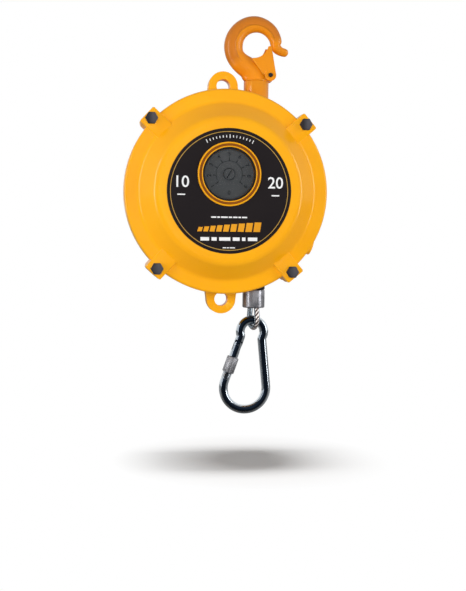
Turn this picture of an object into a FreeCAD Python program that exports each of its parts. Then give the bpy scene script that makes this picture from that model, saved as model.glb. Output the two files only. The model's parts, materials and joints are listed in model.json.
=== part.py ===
import FreeCAD, Part
import math
import os
import re
import Sketcher
import PartDesign

# Spring balancer.  The inside of the suspension hook's eye is the origin, the
# label faces -Y, and the hook, the rope and the snap hook hang on the Z axis.
# The round case hangs beside that axis, so that the rope leaves the drum on it.

SIZES = {
    # where the case and its shaft lie from the hook seat
    "line_offset": 41.0,        # case centre to rope line
    "body_drop": 194.0,         # hook seat down to the case centre
    "axis_rise": 19.5,          # shaft above the case centre
    # case
    "flange_radius": 119.5,
    "rear_radius": 117.0,
    "step_outer": 103.5,
    "step_inner": 85.0,
    "face_front": 72.0,         # all depths are measured from the rope's plane
    "flange_front": 52.0,
    "split_front": 30.0,
    "rear_back": 62.0,
    "rear_corner": 10.0,
    "case_wall": 5.0,
    "face_edge": 2.0,
    "face_edge_depth": 1.2,
    "cone_wall_inset": 4.0,     # inside of the sloped wall from its outside
    "rim_wall": 7.0,
    "flange_edge": 2.5,
    "joint_flange": 9.0,
    "gasket_thick": 0.6,
    "gasket_inner_inset": 0.5,
    "gasket_outer_inset": 0.8,
    "ear_width": 23.0,
    "ear_reach": 129.0,
    "ear_proud": 2.0,
    "ear_corner": 5.0,
    "rear_ear_thick": 16.0,
    "bolt_circle": 121.5,
    "upper_bolt_angle": 48.0,   # from straight up
    "lower_bolt_angle": 41.0,   # from straight down
    "ear_tilt": 1.0,
    "bolt_radius": 4.0,
    "bolt_hole_radius": 4.4,
    "bolt_flats": 13.0,
    "bolt_head": 5.3,
    "bolt_grip": 13.0,          # of thread in the rear case
    # eyes cast on the rear case
    "eye_radius": 17.5,
    "eye_hole_radius": 8.2,
    "eye_thick": 16.0,
    "eye_reach": 127.8,
    "eye_base_extra": 3.0,
    "eye_root": 6.0,            # how far an eye reaches into the case wall
    # dial window
    "window_ring_radius": 36.6,
    "window_ring_edge": 0.8,
    "window_ring_proud": 2.0,
    "window_groove_outer": 34.4,
    "window_groove_inner": 32.6,
    "window_groove_depth": 1.6,
    "window_radius": 31.0,
    "window_thick": 2.4,
    "window_gap": 0.15,
    "window_crown": 0.8,
    "window_shoulder": 0.3,
    "window_edge_drop": 0.9,
    "window_tab_radius": 3.2,
    "window_ledge": 1.6,
    "cup_wall": 4.0,
    "cup_floor": 61.0,
    "cup_floor_thick": 4.5,
    "dial_front": 68.5,
    "dial_thick": 2.0,
    "dial_gap": 0.8,
    "label_radius": 72.0,
    "label_thick": 0.5,
    "label_gap": 0.3,
    # shaft
    "bush_wall": 2.5,
    "running_gap": 0.05,
    "shaft_radius": 8.5,
    "shaft_boss": 17.0,
    "front_boss_back": 48.0,
    "wheel_seat_radius": 10.0,
    "spring_hub_radius": 16.0,
    "key_width": 4.0,
    "key_height": 3.0,
    "key_end_gap": 0.1,
    "shaft_step": 2.0,
    "shaft_collar": 3.0,
    "shaft_end_inset": 2.5,
    "bush_end_inset": 2.2,
    "rear_boss_back": 68.0,
    "rear_boss_radius": 24.0,
    "dial_screw_radius": 2.5,
    "dial_screw_head": 6.0,
    "dial_screw_rise": 1.8,
    "dial_screw_length": 12.0,
    "dial_slot_width": 1.4,
    "dial_slot_depth": 1.0,
    "dial_slot_angle": 60.0,
    # worm drive
    "tooth_module": 2.0,
    "wheel_teeth": 36.0,
    "wheel_front": 45.0,
    "wheel_width": 10.0,
    "wheel_hub_radius": 18.0,
    "worm_pitch_radius": 9.0,
    "worm_turns": 3.0,
    "worm_slope": 19.0,         # the worm shaft falls to the right
    "worm_shaft_radius": 5.5,
    "worm_backlash": 0.7,
    "worm_boss_radius": 9.7,
    "worm_bump": 2.0,           # stands out of the rim
    "worm_boss_length": 30.0,
    "worm_bore_depth": 45.0,
    "worm_end_inset": 1.5,
    "worm_tail": 14.0,
    "worm_socket_depth": 7.0,
    "worm_bush_length": 14.0,
    "worm_bush_inset": 16.0,
    "tooth_root_spread": 0.75,
    "tooth_tip_draw": 0.6,
    "thread_root_spread": 0.95,
    "thread_tip_draw": 0.7,
    "thread_sink": 0.4,         # of the thread's root into the worm's core
    "worm_end_margin": 5.0,
    "worm_socket_flats": 6.0,
    # drum and spring
    "rope_radius": 2.4,
    "rope_pitch": 5.2,
    "rope_turns": 6.0,
    "drum_growth": 9.0,         # growth of the rope's radius over its turns
    "drum_rope_front": 18.0,
    "drum_lip": 3.0,
    "drum_lip_height": 6.0,
    "drum_wall": 6.0,
    "bearing_radius": 20.0,
    "bearing_width": 12.0,
    "spring_case_front": 21.0,
    "spring_case_radius": 88.0,
    "spring_case_wall": 4.0,
    "spring_case_web": 3.5,
    "spring_width": 20.0,
    "spring_thick": 1.0,
    "spring_coils": 7.0,
    "spring_side_gap": 0.75,
    "drum_cover_thick": 3.0,
    "rear_bearing_radius": 16.0,
    "rear_bearing_width": 9.0,
    "cover_screw_radius": 2.0,
    "cover_screws": 6.0,
    "cover_screw_start": 15.0,  # angle of the first screw
    "cover_screw_head": 1.2,
    # suspension hook
    "hook_eye_radius": 17.0,
    "hook_left_width": 22.6,
    "hook_top_width": 19.3,
    "hook_right_width": 13.4,
    "hook_thick": 20.0,
    "hook_tip_radius": 5.0,
    "hook_tip_out": 16.8,       # tip knob beside the eye
    "hook_tip_drop": 6.0,       # tip knob below the eye's centre
    "collar_top": 57.3,
    "collar_bottom": 58.5,
    "socket_radius": 15.0,
    "stem_radius": 9.0,
    "stem_bottom": 124.0,
    "stem_gap": 0.15,
    "split_pin_radius": 1.5,
    "split_pin_rise": 2.6,
    "socket_gap": 0.4,
    "socket_flange_top": 104.0,
    "socket_flange_thick": 5.0,
    "socket_flange_radius": 18.0,
    "stem_nut_flats": 24.0,
    "stem_nut_height": 8.0,
    "thrust_washer_thick": 2.5,
    "socket_pin_radius": 2.0,
    "socket_pin_drop": 73.0,
    "top_boss_radius": 20.0,
    # latch of the suspension hook
    "latch_pin_x": 15.5,
    "latch_pin_drop": 52.0,
    "latch_pin_radius": 2.5,
    "latch_round": 7.0,
    "latch_web_start": 13.0,    # heights above the pin
    "latch_web_end": 30.5,
    "latch_inside": 22.0,
    "latch_sheet": 1.5,
    "latch_boss_radius": 6.0,
    "latch_boss_width": 12.0,
    "latch_wire_radius": 0.7,
    "latch_spring_turns": 2.25,
    "latch_spring_leg": 11.0,
    # rope end
    "guide_radius": 12.0,
    "guide_top": 284.0,
    "guide_bottom": 304.0,
    "guide_bore_radius": 3.2,
    "guide_mouth": 4.0,
    "guide_flare": 0.9,
    "guide_flare_depth": 2.2,
    "guide_throat_depth": 6.0,
    "lead_straight": 14.0,
    "lead_bend": 60.0,
    "guide_boss_wall": 6.0,
    "buffer_radius": 13.5,
    "buffer_thick": 5.4,
    "buffer_edge": 1.5,
    "stop_radius": 13.5,
    "stop_top": 310.0,
    "stop_bottom": 332.5,
    "stop_edge": 1.0,
    "rope_socket_depth": 9.0,
    "loop_radius": 10.8,
    "loop_neck": 8.0,
    "loop_turn": 18.0,
    "loop_slack": 1.5,          # below the snap hook's bar
    "thimble_thick": 1.1,
    "thimble_fit": 0.02,
    # snap hook
    "snap_wire_radius": 5.4,
    "snap_top": 342.0,
    "snap_ring_radius": 14.5,   # of the wire's centre line
    "snap_ring_x": -1.3,
    "snap_neck_radius": 6.0,
    "snap_bow_radius": 26.4,
    "snap_bow_x": -9.6,
    "snap_length": 121.0,
    "gate_slope": 19.4,
    "arm_slope": 5.7,
    "gate_length": 43.5,
    "gate_hinge_up": 46.6,      # hinge above the bow's tangent point
    "gate_joint_gap": 0.4,
    "tongue_thick": 4.4,
    "tongue_length": 5.6,
    "gate_rivet_radius": 1.6,
    "sleeve_radius": 7.25,
    "sleeve_bore": 5.7,
    "sleeve_length": 19.8,
    "sleeve_start": 15.6,
    "sleeve_flutes": 16.0,
    "gate_slot_gap": 0.3,       # each side of the tongue
    "gate_spring_radius": 2.2,
    "gate_spring_bore": 1.4,
    "gate_spring_length": 12.0,
    "gate_spring_start": 2.6,   # below the end of the slot
    "gate_bore_radius": 2.4,
    "gate_bore_length": 16.0,
    "flute_radius": 0.8,
    "flute_out": 0.35,          # centre of a flute outside the sleeve
    "sleeve_edge": 0.8,
    "tongue_inset": 0.9,
    # allowances
    "part_gap": 0.3,
    "slide_gap": 0.1,
    "press_gap": 0.02,          # between parts pressed together
    "cutter_reach": 60.0,       # longer than any piece that a bore goes through
}

# Places and sizes that follow from the driving dimensions.
PLACES = {
    "body_x": "-line_offset",
    "body_z": "-body_drop",
    "axis_z": "-body_drop + axis_rise",
    "rim_inside": "flange_radius - rim_wall",
    "rear_inside": "rear_radius - case_wall",
    "wheel_pitch_radius": "tooth_module * wheel_teeth / 2",
    "worm_depth": "wheel_front - wheel_width / 2",
    "worm_distance": "wheel_pitch_radius + worm_pitch_radius",
    "cup_radius": "window_radius - window_ledge",
    "dial_radius": "cup_radius - dial_gap",
    "rope_span": "rope_pitch * rope_turns",
    "drum_front": "drum_rope_front + rope_radius + drum_lip + 1.6",
    "spring_case_back": "spring_case_front + spring_case_web + spring_width + 2 * spring_side_gap",
    "rear_bearing_front": "spring_case_back",
    "rear_bearing_back": "spring_case_back + rear_bearing_width",
    "top_boss_top": "body_z + sqrt(rear_radius ^ 2 - (line_offset + top_boss_radius) ^ 2) + 2",
    "rope_seat_radius": "line_offset - rope_radius",
    "snap_ring_z": "-snap_top - snap_wire_radius - snap_ring_radius",
    "snap_bow_z": "-snap_top - snap_length + snap_bow_radius + snap_wire_radius",
    "snap_bar_z": "-snap_top - snap_wire_radius",
}

NAME = re.compile(r"[a-z][a-z_]*[a-z]")
X_AXIS = FreeCAD.Vector(1, 0, 0)
Y_AXIS = FreeCAD.Vector(0, 1, 0)
Z_AXIS = FreeCAD.Vector(0, 0, 1)
DIRECTIONS = {"X": X_AXIS, "Y": Y_AXIS, "Z": Z_AXIS}

doc = FreeCAD.newDocument("spring_balancer")
sheet = doc.addObject("Spreadsheet::Sheet", "Sizes")
places = doc.addObject("App::VarSet", "Places")
pieces = []


def fill_sheet():
    """Write each driving dimension in a cell of its own, with its name as alias."""
    for row, (name, value) in enumerate(SIZES.items(), start=1):
        sheet.set(f"A{row}", name)
        sheet.set(f"B{row}", str(value))
        sheet.setAlias(f"B{row}", name)
    doc.recompute()
    for name, formula in PLACES.items():
        places.addProperty("App::PropertyFloat", name)
        places.setExpression(name, formula_of(formula))
    doc.recompute()


def formula_of(text):
    """Point each size's name at its cell, and each place's name at its property."""
    def cell(match):
        name = match.group(0)
        if name in SIZES:
            return f"Sizes.{name}"
        return f"Places.{name}" if name in PLACES else name
    return NAME.sub(cell, str(text))


def size(name):
    """The value of a cell or a place, for shapes that Part's functions make."""
    return float(sheet.get(name) if name in SIZES else getattr(places, name))


def bind(piece, **properties):
    """Bind properties of an object to formulas in the names of the sizes."""
    for name, formula in properties.items():
        piece.setExpression(name, formula_of(formula))


def put(piece, at=(0, 0, 0), rotation=None):
    """Place an object, with its position bound to formulas."""
    if rotation is not None:
        piece.Placement = FreeCAD.Placement(FreeCAD.Vector(), rotation)
    for letter, formula in zip("xyz", at):
        piece.setExpression(f"Placement.Base.{letter}", formula_of(formula))
    return piece


def facing(direction):
    """The rotation that turns the Z axis to a direction."""
    if direction in ("X", "Y", "Z"):
        direction = DIRECTIONS[direction]
    return FreeCAD.Rotation(Z_AXIS, direction)


def cylinder(name, radius, length, at=(0, 0, 0), along="Z"):
    piece = doc.addObject("Part::Cylinder", name)
    bind(piece, Radius=radius, Height=length)
    return put(piece, at, facing(along))


def box(name, lengths, at=(0, 0, 0), rotation=None):
    piece = doc.addObject("Part::Box", name)
    bind(piece, Length=lengths[0], Width=lengths[1], Height=lengths[2])
    return put(piece, at, rotation)


def hexagon(name, flats, length, at=(0, 0, 0), along="Z"):
    piece = doc.addObject("Part::Prism", name)
    piece.Polygon = 6
    bind(piece, Circumradius=f"({flats}) / 2 / cos(30)", Height=length)
    return put(piece, at, facing(along))


def fuse(name, *shapes):
    piece = doc.addObject("Part::MultiFuse", name)
    piece.Shapes = list(shapes)
    return piece


def cut(name, base, *tools):
    piece = doc.addObject("Part::Cut", name)
    piece.Base = base
    piece.Tool = tools[0] if len(tools) == 1 else fuse(f"{name}_tools", *tools)
    return piece


def rounded(name, base, radius, chosen):
    """Fillet the edges of a shape that the chooser picks."""
    doc.recompute()
    piece = doc.addObject("Part::Fillet", name)
    piece.Base = base
    edges = enumerate(base.Shape.Edges, start=1)
    piece.Edges = [(number, radius, radius) for number, edge in edges if chosen(edge)]
    return piece


def shaped(name, shape):
    """A piece whose form needs Part's own functions."""
    piece = doc.addObject("Part::Feature", name)
    piece.Shape = shape
    return piece


def keep(label, piece):
    """Name a finished sub-part, so that it is written out."""
    piece.Label = label
    pieces.append(piece)
    return piece


def turned(name, outline, about="Y", at=(0, 0, 0), rotation=None):
    """Revolve an outline of (radius, position along the axis) formulas."""
    body = doc.addObject("PartDesign::Body", name)
    sketch = body.newObject("Sketcher::SketchObject", f"{name}_outline")
    role = "XY_Plane" if about == "Y" else "XZ_Plane"
    plane = [item for item in body.Origin.OriginFeatures if item.Role == role][0]
    sketch.AttachmentSupport = [(plane, "")]
    sketch.MapMode = "FlatFace"
    count = len(outline)
    start = [FreeCAD.Vector(50, 0, 0) + FreeCAD.Rotation(Z_AXIS, 360 * i / count).multVec(
        FreeCAD.Vector(20, 0, 0)) for i in range(count)]
    for i in range(count):
        sketch.addGeometry(Part.LineSegment(start[i], start[(i + 1) % count]))
    for i in range(count):
        sketch.addConstraint(Sketcher.Constraint("Coincident", i, 2, (i + 1) % count, 1))
    for i, (radius, along) in enumerate(outline):
        across = sketch.addConstraint(Sketcher.Constraint("DistanceX", i, 1, start[i].x))
        sketch.setExpression(f"Constraints[{across}]", formula_of(radius))
        upward = sketch.addConstraint(Sketcher.Constraint("DistanceY", i, 1, start[i].y))
        sketch.setExpression(f"Constraints[{upward}]", formula_of(along))
    turn = body.newObject("PartDesign::Revolution", f"{name}_turn")
    turn.Profile = sketch
    turn.ReferenceAxis = (sketch, ["V_Axis"])
    turn.Angle = 360
    return put(body, at, rotation)


def ring(name, inner, outer, low, high, about="Y", at=(0, 0, 0)):
    outline = [(inner, low), (outer, low), (outer, high), (inner, high)]
    return turned(name, outline, about, at)


BODY = ("body_x", 0, "body_z")
AXIS = ("body_x", 0, "axis_z")


# ---------------------------------------------------------------- the case

def bolt_angles():
    """Angles of the four ears, anticlockwise from +X seen from the front."""
    upper = size("upper_bolt_angle")
    lower = size("lower_bolt_angle")
    tilt = size("ear_tilt")
    return [angle - tilt for angle in (90 - upper, 90 + upper, 270 - lower, 270 + lower)]


def round_the_case(angle, radius):
    """Formulas of the point at an angle and radius round the case's centre."""
    return (f"body_x + ({radius}) * cos({angle})", f"body_z + ({radius}) * sin({angle})")


def ears(name, front, back):
    """The four bolt ears between two depths, with their outer corners rounded."""
    made = []
    for number, angle in enumerate(bolt_angles(), start=1):
        x, z = round_the_case(angle, "step_outer + 1")
        ear = box(f"{name}_ear_{number}",
                  ("ear_reach - step_outer - 1", f"{back} - ({front})", "ear_width"))
        turn = FreeCAD.Rotation(Y_AXIS, -angle)
        across = turn.multVec(Z_AXIS)
        put(ear, (f"{x} - ear_width / 2 * {across.x}", front, f"{z} - ear_width / 2 * {across.z}"), turn)
        far = turn.multVec(X_AXIS)
        centre = FreeCAD.Vector(size("body_x"), 0, size("body_z"))
        reach = size("ear_reach") - 1

        def outer_corner(edge, far=far, centre=centre, reach=reach):
            middle = edge.CenterOfMass
            line = edge.tangentAt(edge.FirstParameter)
            return abs(line.y) > 0.9 and (middle - centre).dot(far) > reach
        made.append(rounded(f"{name}_ear_{number}_round", ear, size("ear_corner"), outer_corner))
    return made


def bolt_bores(name, radius, front, back):
    bores = []
    for number, angle in enumerate(bolt_angles(), start=1):
        x, z = round_the_case(angle, "bolt_circle")
        bores.append(cylinder(f"{name}_bore_{number}", radius, f"{back} - ({front})", (x, front, z), "Y"))
    return bores


def worm_line():
    """The worm shaft's direction, and its point nearest the main shaft."""
    slope = math.radians(size("worm_slope"))
    along = FreeCAD.Vector(math.cos(slope), 0, -math.sin(slope))
    down = FreeCAD.Vector(-math.sin(slope), 0, -math.cos(slope))
    axis = FreeCAD.Vector(size("body_x"), -size("worm_depth"), size("axis_z"))
    return axis + down * size("worm_distance"), along


def worm_exit():
    """How far the worm shaft runs from its middle to the rim of the case."""
    middle, along = worm_line()
    centre = FreeCAD.Vector(size("body_x"), middle.y, size("body_z"))
    offset = middle - centre
    inward = offset.dot(along)
    return math.sqrt(size("flange_radius") ** 2 - offset.Length ** 2 + inward ** 2) - inward


def along_worm(distance):
    """Formulas of a point on the worm shaft's axis."""
    sine = "sin(worm_slope)"
    cosine = "cos(worm_slope)"
    return (f"body_x - worm_distance * {sine} + ({distance}) * {cosine}", "-worm_depth",
            f"axis_z - worm_distance * {cosine} - ({distance}) * {sine}")


def make_front_case():
    shell = turned("front_shell", [
        (0, "-face_front"), ("step_inner - face_edge", "-face_front"),
        ("step_inner", "-face_front + face_edge_depth"),
        ("step_outer", "-flange_front"), ("flange_radius - flange_edge", "-flange_front"),
        ("flange_radius", "-flange_front + flange_edge"), ("flange_radius", "-split_front"),
        ("rim_inside", "-split_front"), ("rim_inside", "-flange_front + case_wall"),
        ("step_outer - cone_wall_inset", "-flange_front + case_wall"),
        ("step_inner - cone_wall_inset", "-face_front + case_wall"),
        (0, "-face_front + case_wall")], at=BODY)
    window = turned("window_surround", [
        (0, "-face_front - window_ring_proud"),
        ("window_groove_inner", "-face_front - window_ring_proud"),
        ("(window_groove_inner + window_groove_outer) / 2",
         "-face_front - window_ring_proud + window_groove_depth"),
        ("window_groove_outer", "-face_front - window_ring_proud"),
        ("window_ring_radius - window_ring_edge", "-face_front - window_ring_proud"),
        ("window_ring_radius", "-face_front - window_ring_proud + window_ring_edge"),
        ("window_ring_radius", "-face_front + 1"),
        ("cup_radius + cup_wall", "-face_front + 1"),
        ("cup_radius + cup_wall", "-cup_floor + cup_floor_thick"),
        ("shaft_boss", "-cup_floor + cup_floor_thick"), ("shaft_boss", "-front_boss_back"),
        (0, "-front_boss_back")], at=AXIS)
    rim = worm_exit()
    worm_boss = cylinder("worm_boss", "worm_boss_radius", "worm_boss_length + worm_bump",
                         along_worm(f"{rim} - worm_boss_length"), worm_line()[1])
    blank = fuse("front_case_blank", shell, window, worm_boss,
                 *ears("front", "-flange_front - ear_proud", "-split_front"))
    cup = turned("window_cup", [
        (0, "-face_front - window_ring_proud - 1"),
        ("window_radius", "-face_front - window_ring_proud - 1"),
        ("window_radius", "-face_front - window_ring_proud + window_thick"),
        ("cup_radius", "-face_front - window_ring_proud + window_thick"),
        ("cup_radius", "-cup_floor"), (0, "-cup_floor")], at=AXIS)
    bush_bore = cylinder("front_bush_bore", "shaft_radius + bush_wall", "30",
                         ("body_x", "-cup_floor - 5", "axis_z"), "Y")
    notch = cylinder("window_notch", "window_tab_radius", "window_ring_proud + window_thick",
                     ("body_x", "-face_front - window_ring_proud - 0.01", "axis_z - window_radius"), "Y")
    worm_bore = cylinder("worm_bore", "worm_shaft_radius + bush_wall", "cutter_reach",
                         along_worm(f"{rim} - worm_bore_depth"), worm_line()[1])
    keep("front_case", cut("front_case", blank, cup, bush_bore, notch, worm_bore,
                           *bolt_bores("front", "bolt_hole_radius", "-flange_front - 10",
                                       "-split_front + 5")))


def eye(name, side):
    """One suspension eye in the rope's plane; side is 1 for the top and -1 for the bottom."""
    depth = "-eye_thick / 2"
    head = cylinder(f"{name}_head", "eye_radius", "eye_thick",
                    ("body_x", depth, f"body_z + {side} * eye_reach"), "Y")
    half = "eye_radius + eye_base_extra"
    foot = doc.addObject("Part::Wedge", f"{name}_foot")
    foot_height = "eye_reach - rear_inside + eye_root"
    bind(foot, Xmin=f"-({half})", Xmax=half, Zmin=0, Zmax="eye_thick", Ymin=0, Ymax=foot_height,
         X2min="-eye_radius", X2max="eye_radius", Z2min=0, Z2max="eye_thick")
    turn = FreeCAD.Rotation(X_AXIS, 90) if side > 0 else FreeCAD.Rotation(X_AXIS, -90)
    start = "eye_thick / 2" if side > 0 else "-eye_thick / 2"
    put(foot, ("body_x", start, f"body_z + {side} * (rear_inside - eye_root)"), turn)
    return [head, foot]


def rear_corner_points(radius, back):
    """The case's rounded rear corner as three chords, from its flat back forward."""
    return [(f"{radius} - rear_corner * 1.3", back),
            (f"{radius} - rear_corner * 0.45", f"{back} - rear_corner * 0.35"),
            (f"{radius} - 1", f"{back} - rear_corner * 1.2")]


def make_rear_case():
    front = "-split_front + gasket_thick"
    shell = turned("rear_shell", [
        (0, "rear_back"), *rear_corner_points("rear_radius", "rear_back"),
        ("rear_radius", f"{front} + joint_flange"), ("flange_radius", f"{front} + joint_flange - 2"),
        ("flange_radius", front), (0, front)], at=BODY)
    top_boss = cylinder("top_boss", "top_boss_radius", "socket_flange_top + top_boss_top",
                        (0, 0, "-socket_flange_top"))
    rear_boss = cylinder("rear_boss", "rear_boss_radius", "rear_boss_back - rear_back + 10",
                         ("body_x", "rear_back - 10", "axis_z"), "Y")
    blank = fuse("rear_blank", shell, rear_boss, *eye("top_eye", 1), *eye("bottom_eye", -1),
                 *ears("rear", front, f"{front} + rear_ear_thick"))
    hollow = turned("rear_hollow", [
        (0, "rear_back - case_wall"), *rear_corner_points("rear_inside", "rear_back - case_wall"),
        ("rear_inside", f"{front} - 1"), (0, f"{front} - 1")], at=BODY)
    guide_boss = cylinder("guide_boss", "guide_radius + guide_boss_wall", "guide_bottom - guide_top - 2",
                          (0, 0, "-guide_bottom"))
    carved = fuse("rear_case_walls", cut("rear_case_carved", blank, hollow), top_boss, guide_boss)
    holes = [
        cylinder("socket_bore", "socket_radius + running_gap", "80", (0, 0, "-socket_flange_top - 1")),
        cylinder("guide_bore", "guide_radius + running_gap", "cutter_reach",
                 (0, 0, "-guide_bottom - cutter_reach / 2")),
        cylinder("buffer_recess", "buffer_radius + 1", "20", (0, 0, "-guide_bottom - 20")),
        cylinder("rear_bush_bore", "shaft_radius + bush_wall", "rear_boss_back - 2 - rear_back + 10",
                 ("body_x", "rear_back - 10", "axis_z"), "Y"),
        cylinder("top_eye_bore", "eye_hole_radius", "cutter_reach",
                 ("body_x", "-cutter_reach / 2", "body_z + eye_reach"), "Y"),
        cylinder("bottom_eye_bore", "eye_hole_radius", "cutter_reach",
                 ("body_x", "-cutter_reach / 2", "body_z - eye_reach"), "Y"),
    ]
    keep("rear_case", cut("rear_case", carved, *holes, *bolt_bores(
        "rear", "bolt_radius + running_gap", f"{front} - 5", f"{front} + bolt_grip + 1")))


def make_case_trim():
    sheet_ring = ring("gasket_ring", "rim_inside + gasket_inner_inset",
                      "flange_radius - gasket_outer_inset", "-split_front",
                      "-split_front + gasket_thick", at=BODY)
    keep("case_gasket", cut("case_gasket", sheet_ring, *bolt_bores(
        "gasket", "bolt_hole_radius", "-split_front - 5", "-split_front + 5")))
    plate = cylinder("label_disc", "label_radius", "label_thick",
                     ("body_x", "-face_front - label_thick", "body_z"), "Y")
    hole = cylinder("label_hole", "window_ring_radius + label_gap", "10",
                    ("body_x", "-face_front - 5", "axis_z"), "Y")
    keep("label_plate", cut("label_plate", plate, hole))
    glass = turned("window_glass", [
        (0, "-face_front - window_ring_proud - window_crown"),
        ("window_radius * 0.2", "-face_front - window_ring_proud - window_crown"),
        ("window_radius * 0.6", "-face_front - window_ring_proud - window_shoulder"),
        ("window_radius - window_gap", "-face_front - window_ring_proud + window_edge_drop"),
        ("window_radius - window_gap", "-face_front - window_ring_proud + window_thick"),
        (0, "-face_front - window_ring_proud + window_thick")], at=AXIS)
    tab = cylinder("window_tab", "window_tab_radius - window_gap", "window_thick - 1",
                   ("body_x", "-face_front - window_ring_proud + 1", "axis_z - window_radius"), "Y")
    keep("window_cover", fuse("window_cover", glass, tab))


def make_case_bolts():
    bolts = []
    head_back = "-flange_front - ear_proud"
    end = "-split_front + gasket_thick + bolt_grip"
    for number, angle in enumerate(bolt_angles(), start=1):
        x, z = round_the_case(angle, "bolt_circle")
        shank = cylinder(f"bolt_{number}_shank", "bolt_radius", f"{end} - ({head_back})",
                         (x, head_back, z), "Y")
        head = hexagon(f"bolt_{number}_head", "bolt_flats", "bolt_head",
                       (x, f"{head_back} - bolt_head", z), "Y")
        bolts.append(fuse(f"bolt_{number}", shank, head))
    group = doc.addObject("Part::Compound", "case_bolts_group")
    group.Links = bolts
    keep("case_bolts", group)


# ------------------------------------------------- the shaft and worm drive

def make_shaft():
    dial_back = "-dial_front + dial_thick"
    shaft = turned("spring_arbor_turned", [
        (0, dial_back), ("shaft_radius - shaft_step", dial_back),
        ("shaft_radius - shaft_step", "-cup_floor - part_gap"),
        ("shaft_radius", "-cup_floor - part_gap"), ("shaft_radius", "-wheel_front - 1"),
        ("wheel_seat_radius", "-wheel_front - 1"),
        ("wheel_seat_radius", "-wheel_front + wheel_width + shaft_step"),
        ("wheel_seat_radius + shaft_collar", "-wheel_front + wheel_width + shaft_step"),
        ("wheel_seat_radius + shaft_collar", "-drum_front - 2 * part_gap"),
        ("wheel_seat_radius", "-drum_front - 2 * part_gap"),
        ("wheel_seat_radius", "-drum_front + bearing_width + 2 * part_gap"),
        ("wheel_seat_radius + shaft_step", "-drum_front + bearing_width + 2 * part_gap"),
        ("wheel_seat_radius + shaft_step", "spring_case_front + spring_case_web"),
        ("spring_hub_radius", "spring_case_front + spring_case_web"),
        ("spring_hub_radius", "rear_bearing_front - shaft_step"),
        ("wheel_seat_radius + 1", "rear_bearing_front - shaft_step"),
        ("wheel_seat_radius + 1", "rear_bearing_front - part_gap"),
        ("shaft_radius", "rear_bearing_front - part_gap"),
        ("shaft_radius", "rear_boss_back - shaft_end_inset"),
        (0, "rear_boss_back - shaft_end_inset")], at=AXIS)
    keyway = box("shaft_keyway", ("key_width", "wheel_width", "key_height"),
                 ("body_x - key_width / 2", "-wheel_front", "axis_z + wheel_seat_radius - key_height / 2"))
    screw_bore = cylinder("dial_screw_bore", "dial_screw_radius", "14",
                          ("body_x", f"{dial_back} - 1", "axis_z"), "Y")
    keep("spring_arbor", cut("spring_arbor", shaft, keyway, screw_bore))
    keep("wheel_key", box(
        "wheel_key", ("key_width - 2 * press_gap", "wheel_width - 2 * key_end_gap", "key_height"),
        ("body_x - key_width / 2 + press_gap", "-wheel_front + key_end_gap",
         "axis_z + wheel_seat_radius - key_height / 2")))
    keep("front_bush", ring("front_bush", "shaft_radius + running_gap", "shaft_radius + bush_wall",
                            "-cup_floor", "-front_boss_back", at=AXIS))
    keep("rear_bush", ring("rear_bush", "shaft_radius + running_gap", "shaft_radius + bush_wall",
                           "rear_bearing_back + 2 * part_gap", "rear_boss_back - bush_end_inset", at=AXIS))
    dial = turned("dial_disc", [
        ("dial_screw_radius + slide_gap", "-dial_front"), ("dial_radius", "-dial_front"),
        ("dial_radius", dial_back), ("dial_screw_radius + slide_gap", dial_back)], at=AXIS)
    keep("dial_plate", dial)
    screw = fuse("dial_screw_whole",
                 cylinder("dial_screw_top", "dial_screw_head", "dial_screw_rise",
                          ("body_x", "-dial_front - dial_screw_rise", "axis_z"), "Y"),
                 cylinder("dial_screw_shank", "dial_screw_radius - press_gap", "dial_screw_length",
                          ("body_x", "-dial_front - slide_gap", "axis_z"), "Y"))
    slot = box("dial_screw_slot", ("4 * dial_screw_head", "dial_slot_depth", "dial_slot_width"))
    tilt = FreeCAD.Rotation(Y_AXIS, -size("dial_slot_angle"))
    corner = tilt.multVec(FreeCAD.Vector(-2 * size("dial_screw_head"), 0, -size("dial_slot_width") / 2))
    put(slot, (f"body_x + ({corner.x})", "-dial_front - dial_screw_rise - 0.01",
               f"axis_z + ({corner.z})"), tilt)
    keep("dial_screw", cut("dial_screw", screw, slot))


DEDENDUM = 1.25                 # of a standard tooth, in modules


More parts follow.
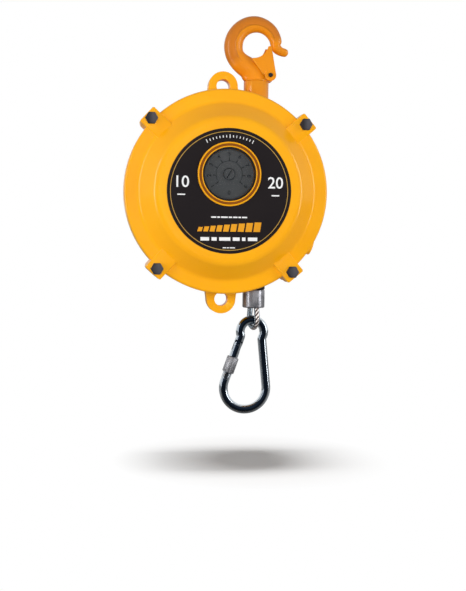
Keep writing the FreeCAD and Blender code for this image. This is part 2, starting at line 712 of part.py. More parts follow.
def make_worm_wheel():
    """A wheel with straight-flanked teeth set over to the worm's lead angle."""
    module = size("tooth_module")
    teeth = int(size("wheel_teeth"))
    pitch_radius = size("wheel_pitch_radius")
    width = size("wheel_width")
    back = -size("wheel_front") + width
    lead = math.degrees(math.atan(module / 2 / size("worm_pitch_radius")))
    root = pitch_radius - DEDENDUM * module
    thick = math.pi * module / 2 - size("worm_backlash") / 2
    at_root = thick / 2 + size("tooth_root_spread")
    at_tip = thick / 2 - size("tooth_tip_draw")
    tooth_outline = [(at_root, root - 1), (-at_root, root - 1),
                     (-at_tip, pitch_radius + module), (at_tip, pitch_radius + module)]
    corners = [FreeCAD.Vector(x, -width / 2, z) for x, z in tooth_outline]
    tooth = Part.Face(Part.makePolygon(corners + corners[:1])).extrude(Y_AXIS * width)
    tooth.rotate(FreeCAD.Vector(), Z_AXIS, -lead)
    tooth = tooth.common(Part.makeBox(40, width - 1.2, 80, FreeCAD.Vector(-20, 0.6 - width / 2, 0)))
    # One tooth stands half a pitch off the line to the worm, so that the thread lies in a gap.
    to_worm = -90 - size("worm_slope")
    gear = Part.makeCylinder(root, width, FreeCAD.Vector(0, -width / 2, 0), Y_AXIS)
    ring_of_teeth = []
    for number in range(teeth):
        turned_tooth = tooth.copy()
        turned_tooth.rotate(FreeCAD.Vector(), Y_AXIS, 90 - to_worm + (number + 0.5) * 360 / teeth)
        ring_of_teeth.append(turned_tooth)
    gear = gear.fuse(ring_of_teeth)
    hub = Part.makeCylinder(size("wheel_hub_radius"), width + 3,
                            FreeCAD.Vector(0, -width / 2 - 1.5, 0), Y_AXIS)
    dish = Part.makeCylinder(root - 5, 2, FreeCAD.Vector(0, -width / 2 - 1, 0), Y_AXIS)
    bore = Part.makeCylinder(size("wheel_seat_radius") + size("press_gap"), 40,
                             FreeCAD.Vector(0, -20, 0), Y_AXIS)
    slot = Part.makeBox(size("key_width"), 40, size("key_height") / 2 + 2.1, FreeCAD.Vector(
        -size("key_width") / 2, -20, size("wheel_seat_radius") - 2))
    gear = gear.cut(dish).fuse(hub).cut(bore).cut(slot)
    gear.translate(FreeCAD.Vector(size("body_x"), back - width / 2, size("axis_z")))
    keep("worm_wheel", shaped("worm_wheel", gear))


def make_worm():
    """The single-start worm, its shaft to the rim and its two bushes."""
    module = size("tooth_module")
    pitch = math.pi * module
    thread_length = pitch * size("worm_turns")
    length = thread_length + 2 * size("worm_end_margin")
    pitch_radius = size("worm_pitch_radius")
    root = pitch_radius - DEDENDUM * module
    thick = pitch / 2 - size("worm_backlash") / 2
    thread_root = root - size("thread_sink")
    helix = Part.makeHelix(pitch, thread_length, thread_root)
    at_root = thick / 2 + size("thread_root_spread")
    at_tip = thick / 2 - size("thread_tip_draw")
    flank = [(thread_root, at_root), (thread_root, -at_root),
             (pitch_radius + module, -at_tip), (pitch_radius + module, at_tip)]
    corners = [FreeCAD.Vector(radius, 0, z) for radius, z in flank]
    profile = Part.makePolygon(corners + corners[:1])
    thread = Part.Wire(helix.Edges).makePipeShell([profile], True, True)
    thread.translate(FreeCAD.Vector(0, 0, -thread_length / 2))
    rim = worm_exit()
    radius = size("worm_shaft_radius")
    end = rim + size("worm_bump") - size("worm_end_inset")
    core = Part.makeCylinder(root, length, FreeCAD.Vector(0, 0, -length / 2))
    inner_end = -length / 2 - size("worm_tail")
    shaft = Part.makeCylinder(radius, end - inner_end, FreeCAD.Vector(0, 0, inner_end))
    key_radius = size("worm_socket_flats") / math.sqrt(3)
    socket_floor = end - size("worm_socket_depth")
    corners = [FreeCAD.Vector(key_radius * math.cos(math.radians(60 * number)),
                              key_radius * math.sin(math.radians(60 * number)), socket_floor)
               for number in range(7)]
    socket = Part.Face(Part.makePolygon(corners)).extrude(Z_AXIS * 10)
    worm = core.fuse([shaft, thread]).cut(socket)
    middle, along = worm_line()
    where = FreeCAD.Placement(middle, FreeCAD.Rotation(X_AXIS, Y_AXIS, along, "ZYX"))
    worm.Placement = where
    keep("worm_shaft", shaped("worm_shaft", worm))
    bush_start = rim - size("worm_bush_inset")
    bush = Part.makeCylinder(radius + size("bush_wall"), size("worm_bush_length"),
                             FreeCAD.Vector(0, 0, bush_start))
    bush = bush.cut(Part.makeCylinder(radius + size("running_gap"), size("cutter_reach"),
                                      FreeCAD.Vector(0, 0, bush_start - 2)))
    bush.Placement = where
    keep("worm_bush", shaped("worm_bush", bush))


# ------------------------------------------------------- the drum and spring

def make_drum():
    """The cast drum: a tapered rope seat in front of the round case of the spring."""
    small = "rope_seat_radius"
    large = "rope_seat_radius + drum_growth"
    rope_back = "-drum_rope_front - rope_radius + rope_span"
    keep("rope_drum", turned("rope_drum", [
        ("bearing_radius", "-drum_front"), (f"{small} + drum_lip_height", "-drum_front"),
        (f"{small} + drum_lip_height", "-drum_front + drum_lip"),
        (small, "-drum_rope_front - rope_radius - 0.4"),
        (small, "-drum_rope_front - rope_radius"), (large, rope_back), (large, "spring_case_front"),
        ("spring_case_radius", "spring_case_front"), ("spring_case_radius", "spring_case_back"),
        ("spring_case_radius - spring_case_wall", "spring_case_back"),
        ("spring_case_radius - spring_case_wall", "spring_case_front + spring_case_web"),
        (f"{large} - drum_wall", "spring_case_front + spring_case_web"),
        (f"{small} - drum_wall", "-drum_front + bearing_width + 5"),
        ("bearing_radius - 3", "-drum_front + bearing_width + 5"),
        ("bearing_radius - 3", "-drum_front + bearing_width"),
        ("bearing_radius", "-drum_front + bearing_width")], at=AXIS))
    windings = [(f"{small} + press_gap", "-drum_rope_front - rope_radius"),
                (f"{large} + press_gap", rope_back)]
    turns = int(size("rope_turns"))
    for number in range(turns, 0, -1):
        # each turn of rope shows as a rounded ridge, from the large end to the small one
        for share, height in ((0.02, 0.9), (0.25, 1.85), (0.75, 1.85)):
            position = f"-drum_rope_front - rope_radius + rope_pitch * ({number - share})"
            growth = f"drum_growth * ({number - share}) / rope_turns"
            windings.append((f"{small} + {growth} + rope_radius * {height}", position))
    keep("rope_windings", turned("rope_windings", windings, at=AXIS))
    keep("drum_bearing_front", ring("front_bearing", "wheel_seat_radius + running_gap",
                                    "bearing_radius - press_gap", "-drum_front",
                                    "-drum_front + bearing_width - slide_gap", at=AXIS))
    keep("drum_bearing_rear", ring("rear_bearing", "shaft_radius + running_gap",
                                   "rear_bearing_radius - press_gap", "rear_bearing_front",
                                   "rear_bearing_back", at=AXIS))
    cover = turned("drum_cover_turned", [
        ("rear_bearing_radius", "spring_case_back"), ("spring_case_radius", "spring_case_back"),
        ("spring_case_radius", "spring_case_back + drum_cover_thick"),
        ("rear_bearing_radius + 5", "spring_case_back + drum_cover_thick"),
        ("rear_bearing_radius + 5", "rear_bearing_back"), ("rear_bearing_radius", "rear_bearing_back")],
        at=AXIS)
    screws = []
    bores = []
    count = int(size("cover_screws"))
    circle = "spring_case_radius - spring_case_wall / 2"
    for number in range(count):
        angle = 360 * number / count + size("cover_screw_start")
        x = f"body_x + ({circle}) * cos({angle})"
        z = f"axis_z + ({circle}) * sin({angle})"
        bores.append(cylinder(f"cover_bore_{number}", "cover_screw_radius / 2 + part_gap", "20",
                              (x, "spring_case_back - 0.01", z), "Y"))
        shank = cylinder(f"cover_screw_{number}_shank", "cover_screw_radius / 2", "drum_cover_thick",
                         (x, "spring_case_back + 0.05", z), "Y")
        head = cylinder(f"cover_screw_{number}_head", "cover_screw_radius", "cover_screw_head",
                        (x, "spring_case_back + drum_cover_thick", z), "Y")
        screws.append(fuse(f"cover_screw_{number}", shank, head))
    keep("drum_cover", cut("drum_cover", cover, *bores))
    group = doc.addObject("Part::Compound", "cover_screw_group")
    group.Links = screws
    keep("drum_cover_screws", group)


def make_spring():
    """The flat spiral spring: half rounds of growing radius between hub and case wall."""
    inner = size("spring_hub_radius") + size("part_gap")
    outer = size("spring_case_radius") - size("spring_case_wall") - size("part_gap") - size("spring_thick")
    halves = int(2 * size("spring_coils"))
    growth = (outer - inner) / halves
    front = size("spring_case_front") + size("spring_case_web") + size("spring_side_gap")

    def spiral(offset):
        edges = []
        x = inner + offset
        for half in range(halves):
            side = 1 if half % 2 == 0 else -1
            radius = inner + offset + growth * (half + 0.5) - growth / 2
            centre = x - side * radius
            start = FreeCAD.Vector(x, front, 0)
            middle = FreeCAD.Vector(centre, front, side * radius)
            x = centre - side * radius
            edges.append(Part.Arc(start, middle, FreeCAD.Vector(x, front, 0)).toShape())
        return edges, FreeCAD.Vector(x, front, 0)
    near, near_end = spiral(0)
    far, far_end = spiral(size("spring_thick"))
    near_start = FreeCAD.Vector(inner, front, 0)
    far_start = FreeCAD.Vector(inner + size("spring_thick"), front, 0)
    outline = Part.Wire(near + [Part.makeLine(near_end, far_end)] + far[::-1]
                        + [Part.makeLine(far_start, near_start)])
    strip = Part.Face(outline).extrude(Y_AXIS * size("spring_width"))
    strip.translate(FreeCAD.Vector(size("body_x"), 0, size("axis_z")))
    keep("spiral_spring", shaped("spiral_spring", strip))


# --------------------------------------------------------- suspension hook

def section(centre, along, half_width, half_thick):
    """An oval section of the hook across its centre line in the XZ plane."""
    across = FreeCAD.Vector(along.z, 0, -along.x)
    oval = Part.makeCircle(1)
    matrix = FreeCAD.Matrix(
        across.x * half_width, 0, along.x, centre.x,
        0, half_thick, along.y, centre.y,
        across.z * half_width, 0, along.z, centre.z,
        0, 0, 0, 1)
    return Part.Wire([oval.transformGeometry(matrix)])


def bow_width(angle):
    """The bow's width at an angle round the eye: widest left, narrowest right."""
    if angle >= 90:
        share = (min(angle, 180) - 90) / 90
        return size("hook_top_width") + share * (size("hook_left_width") - size("hook_top_width"))
    return size("hook_top_width") + (90 - angle) / 90 * (size("hook_right_width") - size("hook_top_width"))


# The hook's neck, from the collar up: middle beside the axis, height above the
# collar, lean of the section and half its width.
NECK = ((-2.0, 6.0, (-0.2, 0, 0.98), 16.0),
        (-11.0, 15.5, (-0.6, 0, 0.8), 14.0))
BOW_ANGLES = (205, 180, 150, 120, 90, 60, 35, 12)
# From the bow to the tip knob: place beside and below the eye, direction, half
# width and half thickness.
NOSE = ((7.2, 0.2, (0.55, 0, -0.835), 6.2, 6.4),
        (12.0, 4.6, (0.88, 0, -0.475), 5.3, 5.6))
TIP_DIRECTION = (0.97, 0, -0.24)
# The round end of the tip: distance along it and radius, in tip radii.
TIP_ROUND = ((0, 1), (0.45, 0.9), (0.8, 0.6), (0.95, 0.28))
THIN_SHARE = 0.28               # how much thinner the bow is at the tip side


def make_hook():
    eye_radius = size("hook_eye_radius")
    half_thick = size("hook_thick") / 2
    collar_top = -size("collar_top")
    sections = [section(FreeCAD.Vector(0, 0, collar_top - 1), Z_AXIS, size("socket_radius"),
                        half_thick)]
    for beside, height, lean, half_width in NECK:
        sections.append(section(FreeCAD.Vector(beside, 0, collar_top + height), FreeCAD.Vector(lean),
                                half_width, half_thick))
    for angle in BOW_ANGLES:
        turn = math.radians(angle)
        width = bow_width(angle)
        middle = eye_radius + width / 2
        centre = FreeCAD.Vector(middle * math.cos(turn), 0, middle * math.sin(turn) - eye_radius)
        along = FreeCAD.Vector(math.sin(turn), 0, -math.cos(turn))
        fullness = math.cos(math.radians(180 - angle)) / 2 + 0.5
        thick = half_thick * (1 - THIN_SHARE + THIN_SHARE * fullness)
        sections.append(section(centre, along, width / 2, thick))
    tip_radius = size("hook_tip_radius")
    for beside, drop, direction, half_width, thick in NOSE:
        sections.append(section(FreeCAD.Vector(eye_radius + beside, 0, -eye_radius - drop),
                                FreeCAD.Vector(direction), half_width, thick))
    tip = FreeCAD.Vector(eye_radius + size("hook_tip_out"), 0, -eye_radius - size("hook_tip_drop"))
    point = FreeCAD.Vector(TIP_DIRECTION).normalize()
    for distance, share in TIP_ROUND:
        sections.append(section(tip + point * (distance * tip_radius), point, share * tip_radius,
                                share * tip_radius))
    bow = Part.makeLoft(sections, True, False)
    collar = Part.makeCylinder(size("socket_radius"), size("collar_bottom") - size("collar_top"),
                               FreeCAD.Vector(0, 0, -size("collar_bottom")))
    stem = Part.makeCylinder(size("stem_radius"), size("stem_bottom") - size("collar_bottom"),
                             FreeCAD.Vector(0, 0, -size("stem_bottom")))
    pivot = FreeCAD.Vector(size("latch_pin_x"), 0, -size("latch_pin_drop"))
    boss = Part.makeCylinder(size("latch_boss_radius"), size("latch_boss_width"),
                             pivot - Y_AXIS * size("latch_boss_width") / 2, Y_AXIS)
    web = Part.makeBox(size("latch_pin_x"), size("latch_boss_width"), size("latch_boss_radius") + 5,
                       FreeCAD.Vector(0, -size("latch_boss_width") / 2,
                                      -size("latch_pin_drop") - size("latch_boss_radius") + 1.5))
    reach = size("cutter_reach")
    hole = Part.makeCylinder(size("latch_pin_radius") + size("press_gap"), reach,
                             pivot - Y_AXIS * reach / 2, Y_AXIS)
    groove = Part.makeTorus(size("stem_radius"), size("socket_pin_radius") + size("slide_gap"),
                            FreeCAD.Vector(0, 0, -size("socket_pin_drop")))
    split_bore = Part.makeCylinder(
        size("split_pin_radius") + size("slide_gap"), reach,
        FreeCAD.Vector(-reach / 2, 0, -size("stem_bottom") + size("split_pin_rise")), X_AXIS)
    hook = bow.fuse([collar, stem, boss, web]).cut(hole).cut(groove).cut(split_bore)
    keep("hook", shaped("hook", hook))
    keep("stem_split_pin", cylinder("stem_split_pin", "split_pin_radius", "2 * stem_radius + 10",
                                    ("-stem_radius - 5", 0, "-stem_bottom + split_pin_rise"), "X"))
    width = "latch_inside + 2 * latch_sheet + 3"
    keep("latch_pin", cylinder("latch_pin", "latch_pin_radius", width,
                               ("latch_pin_x", f"-({width}) / 2", "-latch_pin_drop"), "Y"))


def make_socket():
    bore = "stem_radius + stem_gap"
    top = "-collar_bottom - socket_gap"
    bottom = "-socket_flange_top - socket_flange_thick"
    tube = turned("socket_turned", [
        (bore, top), ("socket_radius - 0.6", top), ("socket_radius", f"{top} - 0.6"),
        ("socket_radius", "-socket_flange_top"), ("socket_flange_radius", "-socket_flange_top"),
        ("socket_flange_radius", bottom), (bore, bottom)], about="Z")
    offset = "stem_radius + socket_pin_radius * 0.5"
    hole = cylinder("socket_pin_hole", "socket_pin_radius", "cutter_reach",
                    (f"-({offset})", "-cutter_reach / 2", "-socket_pin_drop"), "Y")
    keep("hook_socket", cut("hook_socket", tube, hole))
    length = "2 * sqrt(socket_radius ^ 2 - (stem_radius + socket_pin_radius * 0.5) ^ 2) - 1"
    keep("socket_pin", cylinder("socket_pin", "socket_pin_radius - press_gap", length,
                                (f"-({offset})", f"-({length}) / 2", "-socket_pin_drop"), "Y"))
    washer_bottom = f"{bottom} - part_gap - thrust_washer_thick"
    keep("thrust_washer", ring("thrust_washer", "stem_radius + slide_gap", "socket_flange_radius - 2",
                               washer_bottom, f"{bottom} - part_gap", about="Z"))
    nut = hexagon("stem_nut_hex", "stem_nut_flats", "stem_nut_height",
                  (0, 0, f"{washer_bottom} - stem_nut_height"))
    nut_bore = cylinder("stem_nut_bore", "stem_radius + press_gap", "cutter_reach",
                        (0, 0, "-stem_bottom - 20"))
    keep("stem_nut", cut("stem_nut", nut, nut_bore))


# The latch's outline beside and above its pin.
LATCH_TIP = ((-3.0, 34.3), (0.8, 34.3))
LATCH_LEFT = ((-21.8, 19.8), (-22.9, 17.8))
LATCH_HOLLOW = (-9.4, 24.0)     # on the hollow edge that clears the bow
LATCH_SHOULDER = (0.93, 0.36)   # direction to the end of the round at the pin


def make_latch():
    """Two cheeks joined by a web along the latch's outer edge, folded from sheet."""
    inside = size("latch_inside")
    sheet_thick = size("latch_sheet")
    pivot_x = size("latch_pin_x")
    pivot_z = -size("latch_pin_drop")
    corner = size("latch_round")

    def at(x, z):
        return FreeCAD.Vector(x, 0, z)

    def from_pin(place):
        return at(pivot_x + place[0], pivot_z + place[1])
    low = at(pivot_x - corner, pivot_z)
    base = at(pivot_x, pivot_z - corner)
    side = from_pin([corner * share for share in LATCH_SHOULDER])
    tip_left, tip_right = [from_pin(place) for place in LATCH_TIP]
    left_top, left_low = [from_pin(place) for place in LATCH_LEFT]
    hollow = from_pin(LATCH_HOLLOW)
    edges = [Part.LineSegment(tip_left, tip_right), Part.LineSegment(tip_right, side),
             Part.Arc(side, base, low), Part.LineSegment(low, left_low),
             Part.LineSegment(left_low, left_top), Part.Arc(left_top, hollow, tip_left)]
    cheek_face = Part.Face(Part.Wire([edge.toShape() for edge in edges]))
    total = inside + 2 * sheet_thick
    block = cheek_face.extrude(Y_AXIS * total)
    block.translate(FreeCAD.Vector(0, -total / 2, 0))
    web_low = pivot_z + size("latch_web_start")
    web_high = pivot_z + size("latch_web_end")
    far = size("cutter_reach")
    slope = (side.x - tip_right.x) / (side.z - tip_right.z)
    keep_out = [at(-far, web_low - far), at(far, web_low - far), at(far, web_low),
                at(side.x + (web_low - side.z) * slope - sheet_thick, web_low),
                at(side.x + (web_high - side.z) * slope - sheet_thick, web_high),
                at(far, web_high), at(far, web_high + far), at(-far, web_high + far)]
    space = Part.Face(Part.makePolygon(keep_out + keep_out[:1])).extrude(Y_AXIS * inside)
    space.translate(FreeCAD.Vector(0, -inside / 2, 0))
    hole = Part.makeCylinder(size("latch_pin_radius") + size("running_gap"), far,
                             FreeCAD.Vector(pivot_x, -far / 2, pivot_z), Y_AXIS)
    keep("latch", shaped("latch", block.cut(space).cut(hole)))
    make_latch_spring(pivot_x, pivot_z)


def make_latch_spring(pivot_x, pivot_z):
    """A torsion spring beside the hook's lug: its coil as one sleeve, and its leg."""
    wire = size("latch_wire_radius")
    inside = size("latch_pin_radius") + size("part_gap")
    start = size("latch_boss_width") / 2 + size("part_gap")
    length = size("latch_spring_turns") * 2 * wire
    centre = FreeCAD.Vector(pivot_x, start, pivot_z)
    coil = Part.makeCylinder(inside + 2 * wire, length, centre, Y_AXIS)
    coil = coil.cut(Part.makeCylinder(inside, length, centre, Y_AXIS))
    leg_start = FreeCAD.Vector(pivot_x - inside - wire, start + length - wire, pivot_z)
    leg = Part.makeCylinder(wire * 0.98, size("latch_spring_leg"), leg_start, Z_AXIS)
    keep("latch_spring", shaped("latch_spring", coil.fuse(leg)))


# ------------------------------------------------------------ rope and its end

def rope_path(points, radii):
    """Straight runs joined by tangent arcs of the given radii."""
    edges = []
    last = points[0]
    for index in range(1, len(points) - 1):
        corner = points[index]
        before = (points[index - 1] - corner).normalize()
        after = (points[index + 1] - corner).normalize()
        half = before.getAngle(after) / 2
        reach = radii[index - 1] / math.tan(half)
        middle = (before + after).normalize() * (radii[index - 1] / math.sin(half) - radii[index - 1])
        start = corner + before * reach
        end = corner + after * reach
        edges.append(Part.LineSegment(last, start).toShape())
        edges.append(Part.Arc(start, corner + middle, end).toShape())
        last = end
    edges.append(Part.LineSegment(last, points[-1]).toShape())
    return Part.Wire(edges)


def swept(path, profile):
    return path.makePipeShell([profile], True, True)


def round_bar(path, radius):
    """A round section along a path that starts in the direction of its first edge."""
    first = path.Edges[0]
    start = first.valueAt(first.FirstParameter)
    along = first.tangentAt(first.FirstParameter)
    return swept(path, Part.Wire([Part.makeCircle(radius, start, along)]))


def make_rope():
    radius = size("rope_radius")
    guide_middle = -(size("guide_top") + size("guide_bottom")) / 2 - 2
    start_y = -size("drum_rope_front")
    coil_radius = size("line_offset") + radius
    leave = math.sqrt((coil_radius + radius + size("part_gap")) ** 2 - size("line_offset") ** 2)
    lead_points = [FreeCAD.Vector(0, start_y, size("axis_z") - leave),
                   FreeCAD.Vector(0, start_y, size("axis_z") - leave - size("lead_straight")),
                   FreeCAD.Vector(0, 0, -size("guide_top") + size("lead_straight")),
                   FreeCAD.Vector(0, 0, guide_middle + size("part_gap"))]
    keep("rope_lead", shaped("rope_lead", round_bar(rope_path(lead_points, 2 * [size("lead_bend")]), radius)))
    drop = size("stop_top") + size("rope_socket_depth") + guide_middle
    keep("rope_drop", shaped("rope_drop", Part.makeCylinder(
        radius, drop, FreeCAD.Vector(0, 0, guide_middle - drop))))
    mouth = "guide_bore_radius + guide_mouth"
    keep("rope_guide", turned("rope_guide", [
        (mouth, "-guide_top"), ("guide_radius", "-guide_top"), ("guide_radius", "-guide_bottom"),
        (mouth, "-guide_bottom"),
        ("guide_bore_radius + guide_flare", "-guide_bottom + guide_flare_depth"),
        ("guide_bore_radius", "-guide_bottom + guide_throat_depth"),
        ("guide_bore_radius", "-guide_top - guide_throat_depth"),
        ("guide_bore_radius + guide_flare", "-guide_top - guide_flare_depth")], about="Z"))
    bottom = "-stop_top + slide_gap"
    top = f"{bottom} + buffer_thick"
    keep("rubber_buffer", turned("rubber_buffer", [
        ("rope_radius + part_gap", top), ("buffer_radius - buffer_edge", top),
        ("buffer_radius", f"{top} - buffer_edge"), ("buffer_radius", bottom),
        ("rope_radius + part_gap", bottom)], about="Z"))


def loop_path():
    """The rope's loop below the stop: two legs and a half round, in the XZ plane."""
    radius = size("loop_radius")
    neck = size("loop_neck")
    top = -size("stop_bottom") + size("rope_socket_depth")
    centre = loop_centre()
    # each leg is straight from the stop to its tangent point on the round
    span = math.hypot(neck, top - centre)
    bearing = math.atan2(top - centre, neck)
    touch = bearing - math.acos(radius / span)
    right = FreeCAD.Vector(radius * math.cos(touch), 0, centre + radius * math.sin(touch))
    left = FreeCAD.Vector(-right.x, 0, right.z)
    bottom = FreeCAD.Vector(0, 0, centre - radius)
    return Part.Wire([Part.makeLine(FreeCAD.Vector(neck, 0, top), right),
                      Part.Arc(right, bottom, left).toShape(),
                      Part.makeLine(left, FreeCAD.Vector(-neck, 0, top))])


def loop_centre():
    inner = size("loop_radius") - size("rope_radius") - size("thimble_thick")
    return size("snap_bar_z") - size("snap_wire_radius") - size("loop_slack") + inner


def below_the_stop(gap):
    """A large block whose top is a gap below the stop's lower face."""
    side = 2 * size("cutter_reach")
    return Part.makeBox(side, side, side, FreeCAD.Vector(-side / 2, -side / 2,
                                                         -size("stop_bottom") - gap - side))


def make_loop():
    path = loop_path()
    radius = size("rope_radius")
    rope = round_bar(path, radius)
    start = path.Edges[0].valueAt(path.Edges[0].FirstParameter)
    along = path.Edges[0].tangentAt(path.Edges[0].FirstParameter)
    inward = along.cross(Y_AXIS)
    if inward.x > 0:
        inward = -inward
    near = radius + size("thimble_fit")
    far = near + size("thimble_thick")
    profile = Part.Wire([
        Part.Arc(start + Y_AXIS * near, start + inward * near, start - Y_AXIS * near).toShape(),
        Part.makeLine(start - Y_AXIS * near, start - Y_AXIS * far),
        Part.Arc(start - Y_AXIS * far, start + inward * far, start + Y_AXIS * far).toShape(),
        Part.makeLine(start + Y_AXIS * far, start + Y_AXIS * near)])
    thimble = swept(path, profile)
    thimble = thimble.common(below_the_stop(size("part_gap")))
    stop = Part.makeCylinder(size("stop_radius"), size("stop_bottom") - size("stop_top"),
                             FreeCAD.Vector(0, 0, -size("stop_bottom")))
    edges = [edge for edge in stop.Edges if hasattr(edge.Curve, "Radius")]
    stop = stop.makeChamfer(size("stop_edge"), edges)
    bore_length = size("rope_socket_depth") + size("slide_gap")
    drop_bore = Part.makeCylinder(radius + size("press_gap"), bore_length,
                                  FreeCAD.Vector(0, 0, -size("stop_top") - bore_length))
    leg_bores = round_bar(path, radius + size("press_gap")).cut(below_the_stop(1))
    stop = stop.cut(drop_bore).cut(leg_bores)
    for label, shape in (("rope_loop", rope), ("thimble", thimble), ("rope_stop", stop)):
        shape.rotate(FreeCAD.Vector(), Z_AXIS, 90 + size("loop_turn"))
        keep(label, shaped(label, shape))


# ---------------------------------------------------------------- snap hook

def gate_direction():
    slope = math.radians(size("gate_slope"))
    return FreeCAD.Vector(-math.sin(slope), 0, -math.cos(slope))


def bow_centre():
    return FreeCAD.Vector(size("snap_bow_x"), 0, size("snap_bow_z"))


def gate_touch():
    """Where the gate's line touches the bow."""
    slope = math.radians(size("gate_slope"))
    return bow_centre() + FreeCAD.Vector(-math.cos(slope), 0, math.sin(slope)) * size("snap_bow_radius")


def gate_hinge():
    return gate_touch() - gate_direction() * size("gate_hinge_up")


def neck_centre(touch, upward, outward):
    """Centre of the neck's arc, which touches the ring and a side of the hook."""
    ring_centre = FreeCAD.Vector(size("snap_ring_x"), 0, size("snap_ring_z"))
    neck = size("snap_neck_radius")
    reach = size("snap_ring_radius") + neck
    start = touch + outward * neck
    along = (ring_centre - start).dot(upward)
    nearest = start + upward * along
    off = (ring_centre - nearest).Length
    return nearest - upward * math.sqrt(reach ** 2 - off ** 2), ring_centre


def snap_path():
    """Centre line of the bent wire: gate side, ring, arm and bow, ending at the nose."""
    up_gate = -gate_direction()
    out_gate = FreeCAD.Vector(-up_gate.z, 0, up_gate.x)
    slope = math.radians(size("arm_slope"))
    up_arm = FreeCAD.Vector(-math.sin(slope), 0, math.cos(slope))
    out_arm = FreeCAD.Vector(up_arm.z, 0, -up_arm.x)
    arm_touch = bow_centre() + out_arm * size("snap_bow_radius")
    left_neck, ring_centre = neck_centre(gate_touch(), up_gate, out_gate)
    right_neck, _ = neck_centre(arm_touch, up_arm, out_arm)
    neck = size("snap_neck_radius")
    ring_radius = size("snap_ring_radius")
    left_low = left_neck - out_gate * neck
    left_high = ring_centre + (left_neck - ring_centre).normalize() * ring_radius
    right_low = right_neck - out_arm * neck
    right_high = ring_centre + (right_neck - ring_centre).normalize() * ring_radius
    left_middle = left_neck + ((left_low + left_high) / 2 - left_neck).normalize() * neck
    right_middle = right_neck + ((right_low + right_high) / 2 - right_neck).normalize() * neck
    top = ring_centre + Z_AXIS * ring_radius
    bottom = bow_centre() - Z_AXIS * size("snap_bow_radius")
    nose = gate_hinge() + gate_direction() * (size("gate_length") + size("gate_joint_gap"))
    return Part.Wire([
        Part.makeLine(gate_hinge(), left_low),
        Part.Arc(left_low, left_middle, left_high).toShape(),
        Part.Arc(left_high, top, right_high).toShape(),
        Part.Arc(right_high, right_middle, right_low).toShape(),
        Part.makeLine(right_low, arm_touch),
        Part.Arc(arm_touch, bottom, gate_touch()).toShape(),
        Part.makeLine(gate_touch(), nose)])


def gate_frame(shape):
    """Stand a shape made along +Z from the hinge on the gate's line, pointing down it."""
    down = gate_direction()
    turn = FreeCAD.Rotation(Y_AXIS.cross(down), Y_AXIS, down, "ZYX")
    shape.Placement = FreeCAD.Placement(gate_hinge(), turn)
    return shape


def make_snap_hook():
    wire = size("snap_wire_radius")
    tongue = size("tongue_thick")
    reach = size("tongue_length")
    hook = round_bar(snap_path(), wire)
    through = size("cutter_reach")
    head_round = reach - size("tongue_inset")
    cheek_width = 2 * wire
    far_cheek = Part.makeBox(4 * wire, cheek_width, reach + 10,
                             FreeCAD.Vector(-2 * wire, tongue / 2, -reach))
    near_cheek = Part.makeBox(4 * wire, cheek_width, reach + 10,
                              FreeCAD.Vector(-2 * wire, -tongue / 2 - cheek_width, -reach))
    tongue_end = Part.makeCylinder(head_round, tongue, FreeCAD.Vector(0, -tongue / 2, 0), Y_AXIS)
    rivet_hole = Part.makeCylinder(size("gate_rivet_radius") + size("press_gap"), through,
                                   FreeCAD.Vector(0, -through / 2, 0), Y_AXIS)
    hook = hook.cut(gate_frame(far_cheek)).cut(gate_frame(near_cheek))
    hook = hook.fuse(gate_frame(tongue_end)).cut(gate_frame(rivet_hole))
    keep("snap_hook", shaped("snap_hook", hook))
    slot = tongue + 2 * size("gate_slot_gap")
    length = size("gate_length")
    bar = Part.makeCylinder(wire, length)
    crown = Part.makeCylinder(head_round, 2 * wire, FreeCAD.Vector(0, -wire, 0), Y_AXIS)
    crown = crown.common(Part.makeCylinder(wire, 4 * wire, FreeCAD.Vector(0, 0, -2 * wire)))
    gate = bar.fuse(crown)
    slot_box = Part.makeBox(4 * wire, slot, 2 * reach + 4,
                            FreeCAD.Vector(-2 * wire, -slot / 2, -reach - 2))
    bore = Part.makeCylinder(size("gate_bore_radius"), size("gate_bore_length"),
                             FreeCAD.Vector(0, 0, reach + 1))
    pin_hole = Part.makeCylinder(size("gate_rivet_radius") + size("running_gap"), through,
                                 FreeCAD.Vector(0, -through / 2, 0), Y_AXIS)
    gate = gate.cut(slot_box).cut(bore).cut(pin_hole)
    gate = gate_frame(gate)
    keep("gate", shaped("gate", gate))
    rivet = Part.makeCylinder(size("gate_rivet_radius"), 2 * wire, FreeCAD.Vector(0, -wire, 0), Y_AXIS)
    keep("gate_rivet", shaped("gate_rivet", gate_frame(rivet)))
    start = size("sleeve_start")
    sleeve = Part.makeCylinder(size("sleeve_radius"), size("sleeve_length"), FreeCAD.Vector(0, 0, start))
    ends = [edge for edge in sleeve.Edges if hasattr(edge.Curve, "Radius")]
    sleeve = sleeve.makeChamfer(size("sleeve_edge"), ends)
    flutes = []
    count = int(size("sleeve_flutes"))
    for number in range(count):
        turn = math.radians(360 * number / count)
        out = size("sleeve_radius") + size("flute_out")
        centre = FreeCAD.Vector(out * math.cos(turn), out * math.sin(turn), start - 1)
        flutes.append(Part.makeCylinder(size("flute_radius"), size("sleeve_length") + 2, centre))
    inside = Part.makeCylinder(size("sleeve_bore"), size("sleeve_length") + 2,
                               FreeCAD.Vector(0, 0, start - 1))
    keep("lock_sleeve", shaped("lock_sleeve", gate_frame(sleeve.cut(flutes).cut(inside))))
    spring_at = FreeCAD.Vector(0, 0, reach + size("gate_spring_start"))
    length = size("gate_spring_length")
    spring = Part.makeCylinder(size("gate_spring_radius"), length, spring_at).cut(
        Part.makeCylinder(size("gate_spring_bore"), length, spring_at))
    keep("gate_spring", shaped("gate_spring", gate_frame(spring)))


